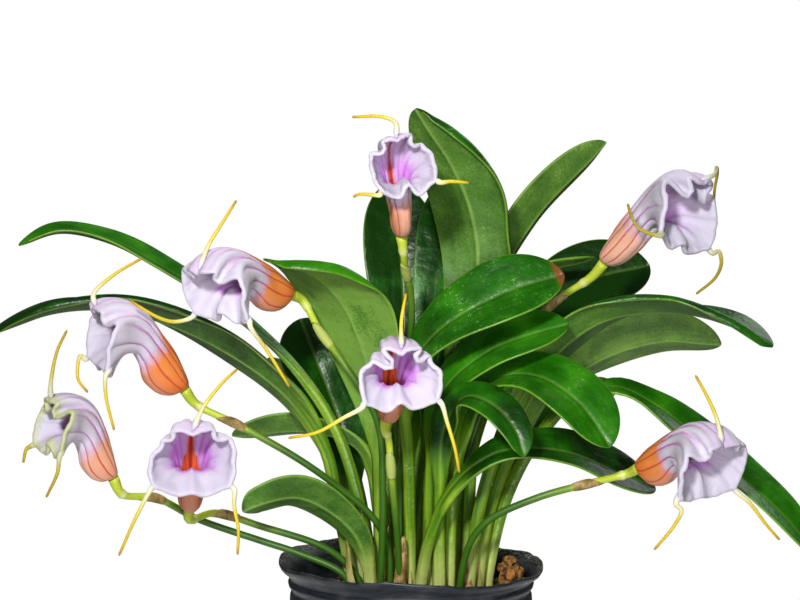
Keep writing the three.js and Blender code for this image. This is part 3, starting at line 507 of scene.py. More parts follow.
def sepalTissue(look):
    material, add = newMaterial("fleshy_sepal_tissue_grown")
    value = attributes(add, "along", "around", "inner", "tail", "onTail", "olive", "green", "pale")
    where = add("TexCoord").outputs["Object"]
    soft = noiseOf(add, where, 4, 3.0)
    bead = add("TexVoronoi", Vector=where, Scale=1 / (look["bead"] * millimetre))
    wobble = add("MapRange", soft, 0.0, 1.0, -0.02, 0.02)
    around = add("ADD", value["around"], wobble)
    ragged = add("MapRange", soft, 0.0, 1.0, -0.09, 0.09)
    along = add("ADD", value["along"], ragged)
    # Outside: the tube's orange, redder along its back, gives way to lilac and white soonest along the sides.
    tube = add("ValToRGB", value["along"], stops=[(0.0, look["foot"]), (0.05, look["foot"]),
                                                  (0.12, look["tube"]), (0.34, look["tubeLight"])])
    chinShare = add("MapRange", value["around"], 0.62, 0.85)
    redShare = add("MapRange", value["around"], 0.06, 0.26, 0.8, 0.0)
    tube = layered(add, tube, (chinShare, look["chin"]), (redShare, look["tubeRidge"]),
                   (value["pale"], look["palePink"]))
    backShare = add("MapRange", value["around"], 0.0, 0.26, 0.2, 0.0)
    paleFrom = add("SUBTRACT", along, backShare)
    lobe = add("ValToRGB", paleFrom, stops=[(0.44, look["lilac"]), (0.56, look["white"])])
    ridge = add("MapRange", value["around"], 0.04, 0.17, 0.6, 0.0)
    lobe = add("MixRGB", ridge, lobe, look["lilac"])
    turned = add("MapRange", paleFrom, 0.4, 0.54, interpolation_type="SMOOTHSTEP")
    peaks, (wide, narrow) = [], look["veinLine"]
    for place in veinPlaces:
        peaks += [(place - wide, 0.0), (place - narrow, 1.0), (place + narrow, 1.0), (place + wide, 0.0)]
    veinLine = add("ValToRGB", around, stops=[(max(p, 0), v) for p, v in peaks])
    veinFade = add("ValToRGB", value["along"], stops=[(0.04, 0.0), (0.14, 1.0), (0.6, 0.85), (0.9, 0.0)])
    vein = add("MULTIPLY", veinLine, veinFade)
    veinColour = add("MixRGB", turned, *look["veins"])
    outside = layered(add, tube, (turned, lobe), (vein, veinColour))
    # Inside: white at the rim, then lavender with violet cheeks, then the striped red throat, which runs up
    # the back wall in a narrowing tongue to a dark line.
    stripes = add("MULTIPLY", around, 2 * math.pi * look["stripes"])
    stripes = add("COSINE", stripes)
    stripes = add("MapRange", stripes, 0.4, 0.95, 0.0, 0.55)
    throat = add("MixRGB", stripes, *look["throat"])
    inside = add("ValToRGB", along, stops=[(0.54, look["violet"]), (0.62, look["violet"]),
                                           (0.72, look["lavender"]), (0.86, look["rim"])])
    lip = add("ValToRGB", along, stops=[(0.64, look["lavender"]), (0.7, look["violet"]),
                                        (0.76, look["lavender"]), (0.82, look["rim"])])
    lipShare = add("MapRange", value["around"], 0.62, 0.78)
    rimOff = add("MapRange", value["along"], 0.84, 0.96, 1.0, 0.0)
    # Under the hood the roof turns a greyer lavender: partly its own colour and partly painted shade of the
    # hood.
    roofTintAndShade = add("MapRange", value["around"], 0.1, 0.34, 0.75, 0.0)
    roofTintAndShade = add("MULTIPLY", roofTintAndShade, rimOff)
    tongue = add("ValToRGB", value["along"], stops=[(0.38, 0.36), (0.44, 0.23), (0.5, 0.14), (0.56, 0.085),
                                                    (0.62, 0.03), (0.66, 0.0)])
    deep = add("MapRange", along, 0.34, 0.46, 1.0, 0.0, interpolation_type="SMOOTHSTEP")
    within = add("SUBTRACT", tongue, value["around"])
    within = add("MapRange", within, 0.0, 0.045, interpolation_type="SMOOTHSTEP")
    within = add("MULTIPLY", within, rimOff)
    red = add("MAXIMUM", deep, within)
    line = add("MapRange", value["around"], 0.004, 0.012, 0.85, 0.0)
    line = add("MULTIPLY", line, rimOff)
    inside = layered(add, inside, (lipShare, lip), (roofTintAndShade, look["ceiling"]), (red, throat),
                     (line, look["ceilingLine"]))
    greenEdge = add("MapRange", along, 0.9, 1.02)
    greenEdge = add("MULTIPLY", greenEdge, value["green"])
    tail = add("ValToRGB", value["tail"], stops=zip((0.0, 0.14, 0.42, 0.85, 1.0), look["tail"]))
    oliveTail = add("ValToRGB", value["tail"], stops=zip((0.0, 0.12, 0.35, 1.0), look["oliveTail"]))
    tail = add("MixRGB", value["olive"], tail, oliveTail)
    colour = layered(add, outside, (value["inner"], inside), (greenEdge, look["green"]),
                     (value["onTail"], tail))
    rough = add("MapRange", soft, 0.0, 1.0, look["rough"] - 0.1, look["rough"] + 0.1)
    beaded = add("MULTIPLY_ADD", bead, -0.6, soft)
    bump = add("Bump", Strength=0.35, Distance=0.0003, Height=beaded)
    return coated(material, add, Base_Color=colour, Roughness=rough, IOR=1.4, Normal=bump,
                  Subsurface_Weight=0.25, Subsurface_Radius=(1.0, 0.6, 0.5), Subsurface_Scale=0.0012)


# Each station is a ring of the bent tube: its centre (y, z), the tilt of its plane, its reach to the sides,
# the back and the front, and how far the floor of the mouth rises in the middle (keel).
calyxStations = {
    "y": [0, 0, -0.8, -1.2, -1.4, -2.2, -5, -8.4, -11],
    "z": [0, 1.5, 5.5, 12, 18, 23.5, 28.2, 31.4, 33.4],
    "tilt": [0, 0, 0, 5, 13, 26, 38, 47, 53],
    "side": [2.0, 3.5, 4.5, 5.0, 5.6, 7.0, 9.6, 12.6, 14.6],
    "back": [2.0, 2.7, 4.6, 6.6, 8.0, 10.1, 12.7, 13.2, 11.8],
    "front": [2.0, 5.6, 7.8, 8.2, 6.2, 5.6, 7.4, 10.4, 13.4],
    "keel": [0, 0, 0, 0, 0.2, 0.7, 1.3, 1.4, 0.8],
}
# The rim on one side, from the hood's tip at 0 to the middle of the lip at 180 degrees: how far it stands out
# of its station's ellipse, and forward of its plane.
rimAngle = [0, 18, 32, 44, 54, 64, 80, 105, 122, 130, 140, 155, 168, 180]
rimOut = [-3.2, -1.6, -1.2, -0.8, 0.2, 1.1, 0.6, 0.6, 1.8, 2.6, 1.8, 1.5, 1.2, 0.8]
rimForward = [3.4, 3.0, 1.6, 0.2, -0.9, -1.7, -0.8, 0.4, 0.8, 0.8, -0.4, -1.4, -1.4, -1.0]
tailAngles = {"top": 0, "right": 130, "left": -130}
# Where each bend of the rim or the tube lies and how wide it is: in degrees round the rim, or in stations.
bends = {"fold": (45, 8), "crease": (46, 7), "notch": (180, 9), "corner": (66, 17), "hood": (0, 26),
         "ridge": (4.6, 1.6)}
relief = {"crease": 1.0, "ruffle": 0.5, "uneven": 0.25}  # mm
lumpiness = 0.16  # share by which the rim's thickness varies
sepalThickness = 0.8
rimThickness = 1.7
lipTurns = (36, 72, 108, 144)  # degrees
throatStation = 1.9
bloomSides = 144
tailRadii = (0.88, 0.45)
tailRoot = {"height": 0.28, "form": (1, 3.2)}  # its swelling, over mm from the rim
tailSides = 16
tailRings = 44
# foot: where the tube starts, in mm; up: where it rises; facing: where the mouth looks; slot: where the stem
# stands in the mix; stem and tails: the points they pass. joint: mm from the foot to the stem's pale joint.
# folds: how deep the clefts beside the hood are, right and left; notch: how deep the lip is split, in mm.
# corners: how far the lobes' upper corners draw in, right and left; hood: how far its tip draws back, in mm.
# chin and ridge: how full the tube's front and the bend of its back are. olive, green, pale and freshBract:
# how far the tails, the rim, the tube and the bract have those colours.
bloomBasics = {"size": 1, "width": 1, "olive": 0.0, "green": 0.0, "joint": 9.0, "freshBract": 0.15,
               "folds": [2.5, 2.5], "notch": 2.0, "chin": 1.0, "pale": 0.0, "corners": [0, 0], "hood": 0,
               "ridge": 1}
blooms = [
    dict(name="bloom_1_top", foot=[-3.5, -38, 201.5], up=[-0.1, -0.34, 0.94], facing=[0.3, -0.91, -0.3],
         size=0.89, width=0.84, folds=[1.5, 1.5], notch=3.5, corners=[1, 1], joint=5.0, freshBract=1.0,
         pale=0.3, slot=(-4, -5),
         stem=[[-3, -5, 120], [-1, -7, 150], [0, -15, 177.5], [-2, -27, 189]],
         tails={"top": [[-5.5, -57, 239.5], [-10, -57, 241.5], [-20, -53, 241.5]],
                "right": [[13, -58, 220], [19, -56, 219.5]],
                "left": [[-17.5, -60.5, 215.8], [-19.5, -58.5, 214.9]]}),
    dict(name="bloom_2_left_upper", foot=[-42.5, -22, 180.5], up=[-0.61, -0.68, 0.39],
         facing=[-0.31, -0.25, -0.92], size=1.03, folds=[4, 4], notch=5, ridge=0.76, freshBract=1.0,
         slot=(-11, -17),
         stem=[[-10, -24, 110], [-12, -27, 136.5], [-23.5, -27, 156.2], [-32.2, -21, 167.5]],
         tails={"top": [[-68.5, -50, 198.5], [-64, -48, 206], [-59.5, -44, 213.5]],
                "right": [[-49, -50, 163], [-41.5, -46, 150]],
                "left": [[-81.1, -38, 171.8], [-86.2, -42, 173.4], [-95.6, -46, 179.5]]}),
    dict(name="bloom_3_left_middle", foot=[-80, -20, 147], up=[-0.53, -0.3, 0.79], facing=[-0.86, -0.3, -0.4],
         size=1.03, ridge=0.8, slot=(-7.5, -11),
         stem=[[-9, -13, 92], [-15, -15, 102], [-25.5, -18, 111.5], [-39.5, -21, 122], [-60.5, -21, 134]],
         tails={"top": [[-109.5, -35, 181], [-103, -32, 187.5], [-94, -26, 193]],
                "right": [[-104.3, -44, 146.7], [-102, -41, 134.8]],
                "left": [[-116.3, -20, 158.6], [-117, -22, 150.7], [-113.7, -21, 145.7]]}),
    dict(name="bloom_4_far_left", foot=[-104, -30, 117], up=[-0.4, -0.28, 0.87], facing=[-0.74, -0.46, -0.49],
         size=0.86, green=0.9, olive=0.7, joint=7.0, folds=[6, 4], notch=4.5, pale=0.5, slot=(-21, -11),
         stem=[[-25, -11, 80], [-40, -9, 86.5], [-54, -8, 91], [-76, -10, 99], [-90, -19, 108]],
         tails={"top": [[-123, -45, 150.5], [-121, -43, 162], [-118, -40, 169]],
                "right": [[-119.5, -54, 122], [-124, -50, 113]],
                "left": [[-133.1, -35, 127.5], [-134.3, -35, 122.7]]}),
    dict(name="bloom_5_left_lower", foot=[-78, -22, 106], up=[0.08, -0.57, 0.82], facing=[0.09, -0.81, -0.58],
         folds=[0.6, 1], notch=0.6, corners=[0.5, 3.4], slot=(-18, -5),
         stem=[[-22, -6, 81], [-31, -8, 88.5], [-54, -10, 96.6], [-70, -11, 101.5]],
         tails={"top": [[-70, -52, 144.5], [-63.5, -48, 152.5], [-59.5, -44, 156]],
                "right": [[-60.3, -50, 110.5], [-59, -49, 101.9], [-59.4, -47, 92.8]],
                "left": [[-93.5, -54, 106], [-99.5, -50, 93]]}),
    dict(name="bloom_6_front", foot=[-8.5, -42, 140.2], up=[0.1, -0.65, 0.76], facing=[0.15, -0.74, -0.65],
         size=0.94, folds=[3, 6], notch=2.5, freshBract=1.0, corners=[3, 3.4], slot=(-4, -17),
         stem=[[-5, -22, 95], [-7, -30, 118], [-8, -35, 131]],
         tails={"top": [[-3.5, -76, 175], [-2, -72, 183.5]],
                "right": [[11.5, -69, 141], [14.1, -69, 132.2], [15.7, -66, 123.5]],
                "left": [[-22.2, -75, 143], [-31.1, -74, 138], [-40.7, -71, 135.7]]}),
    dict(name="bloom_7_right_upper", foot=[69.5, 0, 190.5], up=[0.59, -0.34, 0.74],
         facing=[0.43, -0.64, -0.64], size=1.14, width=0.92, chin=0.6, folds=[5, 6], notch=2, ridge=0.68,
         olive=1.0, pale=0.65, joint=11.0, slot=(13.5, 1),
         stem=[[18, 0, 110], [27, 1, 140], [39.5, 5, 161], [52, 6, 175.7]],
         tails={"top": [[106, -19, 222.1], [107.9, -12, 224.6], [109.1, -5, 222.1], [108.9, 0, 216.3],
                        [109, 2, 210.5]],
                "right": [[108.4, -15, 195.2], [109.4, -15, 191], [107.7, -12, 185.6], [101.4, -9, 179.7]],
                "left": [[78.2, -36, 203.6], [75.7, -34, 207.7], [74.7, -30, 212.1]]}),
    dict(name="bloom_8_right_lower", foot=[79.5, -30, 120.5], up=[0.54, -0.73, 0.42],
         facing=[0.3, -0.31, -0.9], size=1.02, folds=[1, 3], notch=1, hood=2.5, ridge=0.86, slot=(17, -17),
         stem=[[20.5, -22, 92], [27, -25, 101], [44.6, -28, 109.7], [61.8, -27.5, 114.4]],
         tails={"top": [[101.6, -62, 140.9], [99.5, -58, 146.8], [95.7, -52, 154.6]],
                "right": [[115.1, -46, 110.6], [121.2, -44, 102.8], [126.3, -42, 97]],
                "left": [[89.5, -66, 111], [87.6, -63, 105.5], [81.5, -58, 96.4]]}),
]


# Points of the tube in the bloom's own frame, for stations u (0 foot to 8 rim) and angles in degrees.
def calyxPoints(bloom, u, angle):
    at = {key: passThrough(range(9), row, u) for key, row in calyxStations.items()}
    flare = smooth((u - 5) / 3)
    off = np.abs(angle)
    fold = np.where(angle > 0, *bloom["folds"]) * bell(off, bends["fold"])
    notch = bloom["notch"] * bell(off, bends["notch"])
    corner = np.where(angle > 0, *bloom["corners"]) * bell(off, bends["corner"])
    hood = bloom["hood"] * bell(off, bends["hood"])
    out = (passThrough(rimAngle, rimOut, off) - fold - notch - corner) * flare
    forward = (passThrough(rimAngle, rimForward, off) + 0.25 * fold + 0.3 * notch - hood) * flare
    across, toBack = np.sin(angle * degree), np.cos(angle * degree)
    keel = at["keel"] * smooth((off - 125) / 55)
    chin = mix(bloom["chin"], 1, smooth((u - 2.5) / 3.5))
    ridge = mix(1, bloom["ridge"], bell(u, bends["ridge"]))
    reach = np.where(toBack > 0, at["back"] * ridge, at["front"] * chin - keel)
    stretch = 1 + out / np.hypot(at["side"] * across, reach * toBack)
    r, tilt = reach * toBack * stretch, at["tilt"] * degree
    x = at["side"] * across * stretch * bloom["width"]
    y = at["y"] + r * np.cos(tilt) - forward * np.sin(tilt)
    return np.stack([x, y, at["z"] + r * np.sin(tilt) + forward * np.cos(tilt)], -1)


# Normals that point outwards, and the way on to the next ring.
def ringNormals(rings):
    around = np.roll(rings, -1, 1) - np.roll(rings, 1, 1)
    onward = np.gradient(rings, axis=0)
    normals = unit(np.cross(around, onward))
    sample = 10, rings.shape[1] // 4
    inward = np.dot(normals[sample], rings[sample]) < 0
    return -normals if inward else normals, unit(onward)


# The tube bulges between its veins, creases at the clefts and ruffles at its rim.
def calyxSkin(bloom, seed):
    outerU = np.concatenate([np.linspace(0, 5, 27), np.linspace(5, 8, 34)[1:]])[:, None]
    angle = -(np.arange(bloomSides) * 360 / bloomSides - 180)[None, :]
    outer = calyxPoints(bloom, outerU, angle)
    normals, onward = ringNormals(outer)
    share = np.abs(angle) / 180
    gaps = np.array(veinPlaces + [1.0])
    slot = np.clip(np.searchsorted(gaps, share, side="right") - 1, 0, len(gaps) - 2)
    between = (share - gaps[slot]) / (gaps[slot + 1] - gaps[slot])
    pillow = np.sqrt(np.abs(np.sin(math.pi * between))) - 0.6
    swell = 0.2 * smooth(outerU / 1.5) + 0.8 * smooth((outerU - 2.5) / 2) - 0.6 * smooth((outerU - 6.5) / 1.5)
    crease = -relief["crease"] * bell(np.abs(angle), bends["crease"]) * smooth((outerU - 5) / 2)
    ruffle = relief["ruffle"] * ripple(angle * degree, seed, (5, 8, 13)) * smooth((outerU - 6) / 2)
    uneven = ripple(angle * degree * 2 + outerU, seed + 40, (1, 2, 3)) * smooth((outerU - 1) / 2)
    uneven = relief["uneven"] * uneven
    outer = outer + normals * (pillow * swell + crease + ruffle + uneven)[..., None]
    normals, onward = ringNormals(outer)
    lumps = 1 + lumpiness * ripple(angle * degree, seed + 80, (9, 14, 23, 31))
    thick = mix(sepalThickness, rimThickness * lumps, smooth((outerU - 6.8) / 1.2))[..., None]
    inner = outer - normals * thick
    # The lip turns over in a half round, and every second ring goes back down inside as far as the throat.
    half, middle = thick[-1] / 2, (outer[-1] + inner[-1]) / 2
    lipRings = [middle + onward[-1] * half * math.sin(turn) + normals[-1] * half * math.cos(turn)
                for turn in [turn * degree for turn in lipTurns]]
    keep = [n for n, u in enumerate(outerU[:, 0]) if u > throatStation][::-2]
    rings = np.concatenate([outer, lipRings, inner[keep]])
    along = np.concatenate([outerU[:, 0], np.full(len(lipTurns), 8.0), outerU[keep, 0]]) / 8
    inside = np.concatenate([np.zeros(len(outer)), np.array(lipTurns) / 180, np.ones(len(keep))])
    layers = {"along": along[:, None], "around": share, "inner": inside[:, None],
              **{name: bloom[name] for name in ("green", "olive", "pale")}}
    return skinOf(rings, layers)


# The bloom's frame: up is where its tube rises, and its mouth looks towards facing.
def bloomMatrix(bloom):
    up, back = Vector(bloom["up"]).normalized(), -Vector(bloom["facing"])
    back = (back - up * back.dot(up)).normalized()
    right = back.cross(up).normalized()
    size = bloom["size"]
    turn = Matrix((right * size, back * size, up * size)).transposed()
    return np.array(turn), np.array(bloom["foot"], float)


# A tail runs on from the rim, thick and flat where it leaves the lobe, then thin and round.
def tailSkin(bloom, tail, turn, foot):
    inner, rim = (calyxPoints(bloom, np.array(u), np.array(float(tailAngles[tail]))) for u in (7.0, 8.0))
    shares = [0.8] if tail == "top" else [0.6, 1, 1.5]
    starts = [(turn @ mix(inner, rim, share) + foot).tolist() for share in shares]
    curve = curveThrough(starts + bloom["tails"][tail])
    runs = np.linspace(0, 1, tailRings)
    reach = runs * curve["length"]
    radii = mix(*tailRadii, runs ** 0.7) + tailRoot["height"] * bell(reach, tailRoot["form"])
    radii = radii * (0.45 + 0.55 * smooth(reach / 2.2))
    radii = radii * (1 - 0.55 * smooth((runs - 0.975) / 0.025))
    rings = rodRings(curve, runs, radii, tailSides)
    layers = {"tail": runs[:, None], "onTail": smooth((reach - 0.3) / 3.2)[:, None], "along": 1.0,
              "around": 0.5, "green": bloom["green"], "olive": bloom["olive"]}
    return skinOf(rings, layers)


tissue = sepalTissue(bloomLook)
blooms = [{**bloomBasics, **row} for row in blooms]
for number, bloom in enumerate(blooms):
    turn, foot = bloomMatrix(bloom)
    calyx = calyxSkin(bloom, 100 + number)
    calyx["points"] = calyx["points"] @ turn.T + foot
    tails = [tailSkin(bloom, tail, turn, foot) for tail in bloom["tails"]]
    addPiece(bloom["name"] + "_calyx", [calyx] + tails, tissue, [bloom["name"]])
print("blooms:", len(blooms))


# ---- flower stems ----
# Orchid scape, grown: a smooth, slightly glossy green stem, yellow-green near the bloom, with a pale ring at
# the joint below the pedicel, and a thin dry bract wrapped round it.
stemLook = {"greens": ("#35600F", "#6C8F22", "#B9C93C"), "ring": "#E1E0A8", "rough": 0.42,
            "streak": 0.6, "blotch": 5}  # mm between streaks along the stem, and across a blotch


def scapeSkin(look):
    material, add = newMaterial("smooth_scape_skin_grown")
    value = attributes(add, "toBloom", "jointRing")
    where = add("TexCoord").outputs["Object"]
    drawn = add("VectorMath", where, (1.0, 1.0, 0.08), operation="MULTIPLY")
    streak = noiseOf(add, drawn, look["streak"])
    shade = add("MULTIPLY_ADD", streak, 0.16, value["toBloom"])
    shade = add("MULTIPLY_ADD", noiseOf(add, where, look["blotch"], 3.0), 0.12, shade)
    green = add("ValToRGB", shade, stops=zip((0.3, 0.72, 1.0), look["greens"]))
    colour = add("MixRGB", value["jointRing"], green, look["ring"])
    bump = add("Bump", Strength=0.2, Distance=0.0002, Height=streak)
    return coated(material, add, Base_Color=colour, Roughness=look["rough"], IOR=1.45, Normal=bump)


# Papery plant sheath, dried on the plant: thin, matt and streaked lengthwise, brown where it has died back.
sheathLook = {"dry": ("#55371B", "#8F683A", "#C4A874"), "green": "#A9B75C", "rough": 0.65,
              "fibre": 0.5, "blotch": 4}  # mm between fibres, and across a blotch


def drySheath(look):
    material, add = newMaterial("papery_sheath_dried")
    value = attributes(add, "fresh")
    where = add("TexCoord").outputs["Object"]
    drawn = add("VectorMath", where, (1.0, 1.0, 0.1), operation="MULTIPLY")
    fibre = noiseOf(add, drawn, look["fibre"], 3.0)
    shade = add("MULTIPLY_ADD", fibre, 0.4, noiseOf(add, where, look["blotch"], 4.0))
    dry = add("ValToRGB", shade, stops=zip((0.5, 0.66, 0.85), look["dry"]))
    colour = add("MixRGB", value["fresh"], dry, look["green"])
    bump = add("Bump", Strength=0.4, Distance=0.0003, Height=fibre)
    return coated(material, add, Base_Color=colour, Roughness=look["rough"], IOR=1.45, Normal=bump)


stemRadius = 1.25
pedicelRadius = 2.0
jointRadius = 1.55
jointRing = {"height": 0.25, "width": 0.7}
jointTaper = 2.5
stemEnds = (7, 0.35)  # where the stem passes under the bloom's foot, and where it ends
yellowReach = 42  # how far down the stem its yellow fades to green
bractLength = 9
bractRings = 12
stemSides = 16
stemRings = 90


def stemPieces(bloom):
    foot, up = np.array(bloom["foot"], float), unit(np.array(bloom["up"], float))
    curve = stalkCurve(bloom["slot"], bloom["stem"] + [(foot - up * back).tolist() for back in stemEnds])
    runs = np.linspace(0, 1, stemRings)
    left = (1 - runs) * curve["length"]
    joint = bloom["joint"]
    radii = mix(pedicelRadius, jointRadius, smooth(left / joint))
    radii = radii + (stemRadius - jointRadius) * smooth((left - joint) / jointTaper)
    ringMark = bell(left, (joint, jointRing["width"]))
    rings = rodRings(curve, runs, radii + jointRing["height"] * ringMark, stemSides)
    toBloom = 1 - 0.85 * smooth((left - joint) / yellowReach)
    stem = skinOf(rings, {"toBloom": toBloom[:, None], "jointRing": 0.8 * ringMark[:, None]})
    # The bract's oblique mouth opens towards the bloom.
    share = np.linspace(0, 1, bractRings)
    bractRuns = 1 - (joint + bractLength + bractLength * (1 - share)) / curve["length"]
    swell = stemRadius + 0.15 + 0.4 * np.sin(math.pi * np.clip(share, 0, 0.85)) ** 0.8
    swell[-1] = stemRadius + 0.1
    bract = rodRings(curve, bractRuns, swell, stemSides)
    oblique = (np.cos(turnIn(stemSides)) * 2.2)[None, :, None]
    bract = bract + headingsOn(curve, bractRuns)[:, None] * oblique * (share ** 2)[:, None, None]
    return stem, skinOf(bract, {"fresh": bloom["freshBract"]})


scape = scapeSkin(stemLook)
sheathSkin = drySheath(sheathLook)
for bloom in blooms:
    stem, bract = stemPieces(bloom)
    stemName = bloom["name"].replace("bloom", "stem")
    addPiece(stemName + "_scape", [stem], scape, [stemName])
    addPiece(bloom["name"].replace("bloom", "bract"), [bract], sheathSkin)
print("stems:", len(blooms))


# ---- nursery pot ----
# Black polypropylene, thin, vacuum formed: satin, with flow streaks and fine scratches, dulled by dust and
# with a pale line inside its lip that is partly a crust of dried lime and partly a painted highlight.
potLook = {"plastic": ("#12161C", "#272E37"), "dust": "#66666A", "crust": "#A8A498", "rough": 0.34,
           # mm between scratches, and across dust patches and the specks of the lip's crust and painted
           # highlight
           "scratch": 0.7, "cloud": 9, "speck": 0.8}
potHeight = 82
potFootRadius = 31
potTopRadius = 44
potLipDepth = 5
potWall = 1.3
potSides = 180
plainHeights = (3, 8, 14, 20, 28, 36, 44, 50, 55.6)
# The rings: how far the wall stands out from its plain cone, at each height.
potRings = [(56.4, 0.25), (57.2, 0.7), (58, 0.85), (62, 0.85), (65.6, 0.85), (66.6, 1.0), (67.4, 1.35),
            (68.4, 1.4), (70.6, 0.9), (71.6, 0.35), (73, 0.2), (73.8, 0.8), (75, 0.9), (76, 0.3)]
innerHeights = (76, 74, 70, 66, 60, 50, 30, 10, 2.4)
crustAndHighlightShares = (0.5, 0.9, 0.7, 0.25, 0.1)  # down from the lip's edge, ring by ring
drain = {"count": 5, "radius": 3.2, "reach": 19, "depth": 6}


def formedPolypropylene(look):
    material, add = newMaterial("black_polypropylene_vacuum_formed")
    value = attributes(add, "crust")
    where = add("TexCoord").outputs["Object"]
    dust = noiseOf(add, where, look["cloud"], 6.0)
    drawn = add("VectorMath", where, (0.12, 0.12, 1.0), operation="MULTIPLY")
    scratch = noiseOf(add, drawn, look["scratch"])
    base = add("ValToRGB", scratch, stops=zip((0.4, 0.75), look["plastic"]))
    dusty = add("MapRange", dust, 0.5, 0.8, 0.0, 0.28)
    # The pale line inside the lip is partly a crust of dried lime and partly a painted highlight along the
    # rim.
    broken = add("MapRange", noiseOf(add, where, look["speck"]), 0.5, 0.62)
    crustAndHighlightShare = add("MULTIPLY", value["crust"], broken)
    colour = layered(add, base, (dusty, look["dust"]), (crustAndHighlightShare, look["crust"]))
    rough = add("MapRange", dust, 0.3, 0.8, look["rough"] - 0.06, look["rough"] + 0.24)
    bump = add("Bump", Strength=0.25, Distance=0.0003, Height=scratch)
    return coated(material, add, Base_Color=colour, Roughness=rough, IOR=1.49, Normal=bump)


def potRadiusAt(z):
    return mix(potFootRadius, potTopRadius, z / (potHeight - potLipDepth))


# The thin lip isn't even: it waves up and down a little, more at its edge.
def lipWave(angle, z):
    share = smooth((z - potHeight + 2 * potLipDepth) / (2 * potLipDepth))
    return share * (1.3 * np.cos(angle - 2.9) + 0.7 * np.sin(3 * angle + 0.6) + 0.4 * np.sin(7 * angle))


def potSkin():
    outside = [[30, 0], [30.6, 0.25], [31, 0.8], [31.2, 1.6]] + [[potRadiusAt(z), z] for z in plainHeights]
    outside += [[potRadiusAt(z) + out, z] for z, out in potRings]
    outside += [[potTopRadius + 0.1, 77], [44.9, 78.2], [46.4, 79.3], [47.3, 80.2], [47.9, 81.4]]
    inside = [[47.9, 82], [47.4, 82.3], [46.9, 82], [46.4, 81.2], [45.3, 80.3], [44, 79], [43, 77.6]]
    inside += [[potRadiusAt(z) - potWall, z] for z in innerHeights] + [[29.3, 1.4]]
    reach, z = np.array(outside + inside).T[..., None]
    angle = turnIn(potSides)
    radius = reach + 0.22 * ripple(angle, 7, (2, 3, 5)) * smooth(z / potHeight - 0.5)
    rim = smooth((z - 79) / 3)
    height = z + lipWave(angle, z) + 0.35 * rim * ripple(angle, 8, (11, 17, 29, 41))
    # The pale lip line, partly lime crust and partly painted highlight, runs down the first rings inside the
    # lip.
    crust = np.zeros_like(z)
    first = len(outside) + 1
    crust[first:first + len(crustAndHighlightShares), 0] = crustAndHighlightShares
    return skinOf(ringAt(radius, angle, height), {"crust": crust})


def cutDrains(pot):
    cutters = []
    for turn in turnIn(drain["count"]):
        reach = drain["reach"] * millimetre
        place = [reach * math.cos(turn), reach * math.sin(turn), 0]
        bpy.ops.mesh.primitive_cylinder_add(vertices=32, radius=drain["radius"] * millimetre,
                                            depth=drain["depth"] * millimetre, location=place)
        cutter = bpy.context.object
        cut = pot.modifiers.new("drain", "BOOLEAN")
        cut.object, cut.solver = cutter, "EXACT"
        cutters.append(cutter)
    ready = pot.evaluated_get(bpy.context.evaluated_depsgraph_get())
    cutMesh = bpy.data.meshes.new_from_object(ready)
    pot.modifiers.clear()
    pot.data = cutMesh
    for cutter in cutters:
        bpy.data.objects.remove(cutter)


pot = addPiece("nursery_pot_wall", [potSkin()], formedPolypropylene(potLook), ["nursery_pot"])
cutDrains(pot)
print("pot done")


# ---- potting mix ----
# Composted bark, milled: crumbs and chips of many browns, darker in the hollows between them as painted
# shade, matt.
mixLook = {"browns": ("#1C1109", "#4B2D16", "#96682F", "#BC7A36"), "rough": 0.88,
           "crumb": 1.6, "grain": 2.2}  # mm across a crumb, and across the grain's patches


def milledBark(look):
    material, add = newMaterial("composted_bark_milled")
    value = attributes(add, "warm")
    where = add("TexCoord").outputs["Object"]
    crumb = add("TexVoronoi", Vector=where, Scale=1 / (look["crumb"] * millimetre))
    grain = noiseOf(add, where, look["grain"], 7.0)
    # The crumb pattern darkens the hollows between crumbs, where the bump sinks: painted shade.
    shade = add("MULTIPLY_ADD", crumb, -0.3, grain)
    shade = add("MULTIPLY_ADD", value["warm"], 0.3, shade)
    colour = add("ValToRGB", shade, stops=zip((0.18, 0.42, 0.62, 0.85), look["browns"]))
    height = add("MULTIPLY_ADD", crumb, -0.7, grain)
    bump = add("Bump", Strength=0.9, Distance=0.001, Height=height)
    return coated(material, add, Base_Color=colour, Roughness=look["rough"], IOR=1.45, Normal=bump)


# Living moss, grown: soft, matt leaflets, deep green low down and yellow-green at their tips.
mossLook = {"greens": ("#16300C", "#3E6A1C", "#7FA03A"), "rough": 0.7, "patch": 5}  # mm across a patch


def livingMoss(look):
    material, add = newMaterial("moss_leaflets_grown")
    value = attributes(add, "tip")
    where = add("TexCoord").outputs["Object"]
    shade = add("MULTIPLY_ADD", value["tip"], 0.7, noiseOf(add, where, look["patch"], 3.0))
    colour = add("ValToRGB", shade, stops=zip((0.4, 0.8, 1.0), look["greens"]))
    return coated(material, add, Base_Color=colour, Roughness=look["rough"], IOR=1.45)


mixLevel = 70
mixSides = 150
mixRings = 56
mixHeights = (1.65, 20, 45, 67)  # up its side
mixDome = 2.5  # how far it rises in the middle
mixGap = 0.35  # between the mix and the pot's wall


# Uneven ground: many waves each way, about so many mm long.
def bumpy(x, y, seed, size):
    waves = np.random.default_rng(seed).normal(0, 1, (14, 3))
    total = sum(np.sin((x * a + y * b) / size + 6 * c) for a, b, c in waves)
    return total / len(waves) ** 0.5


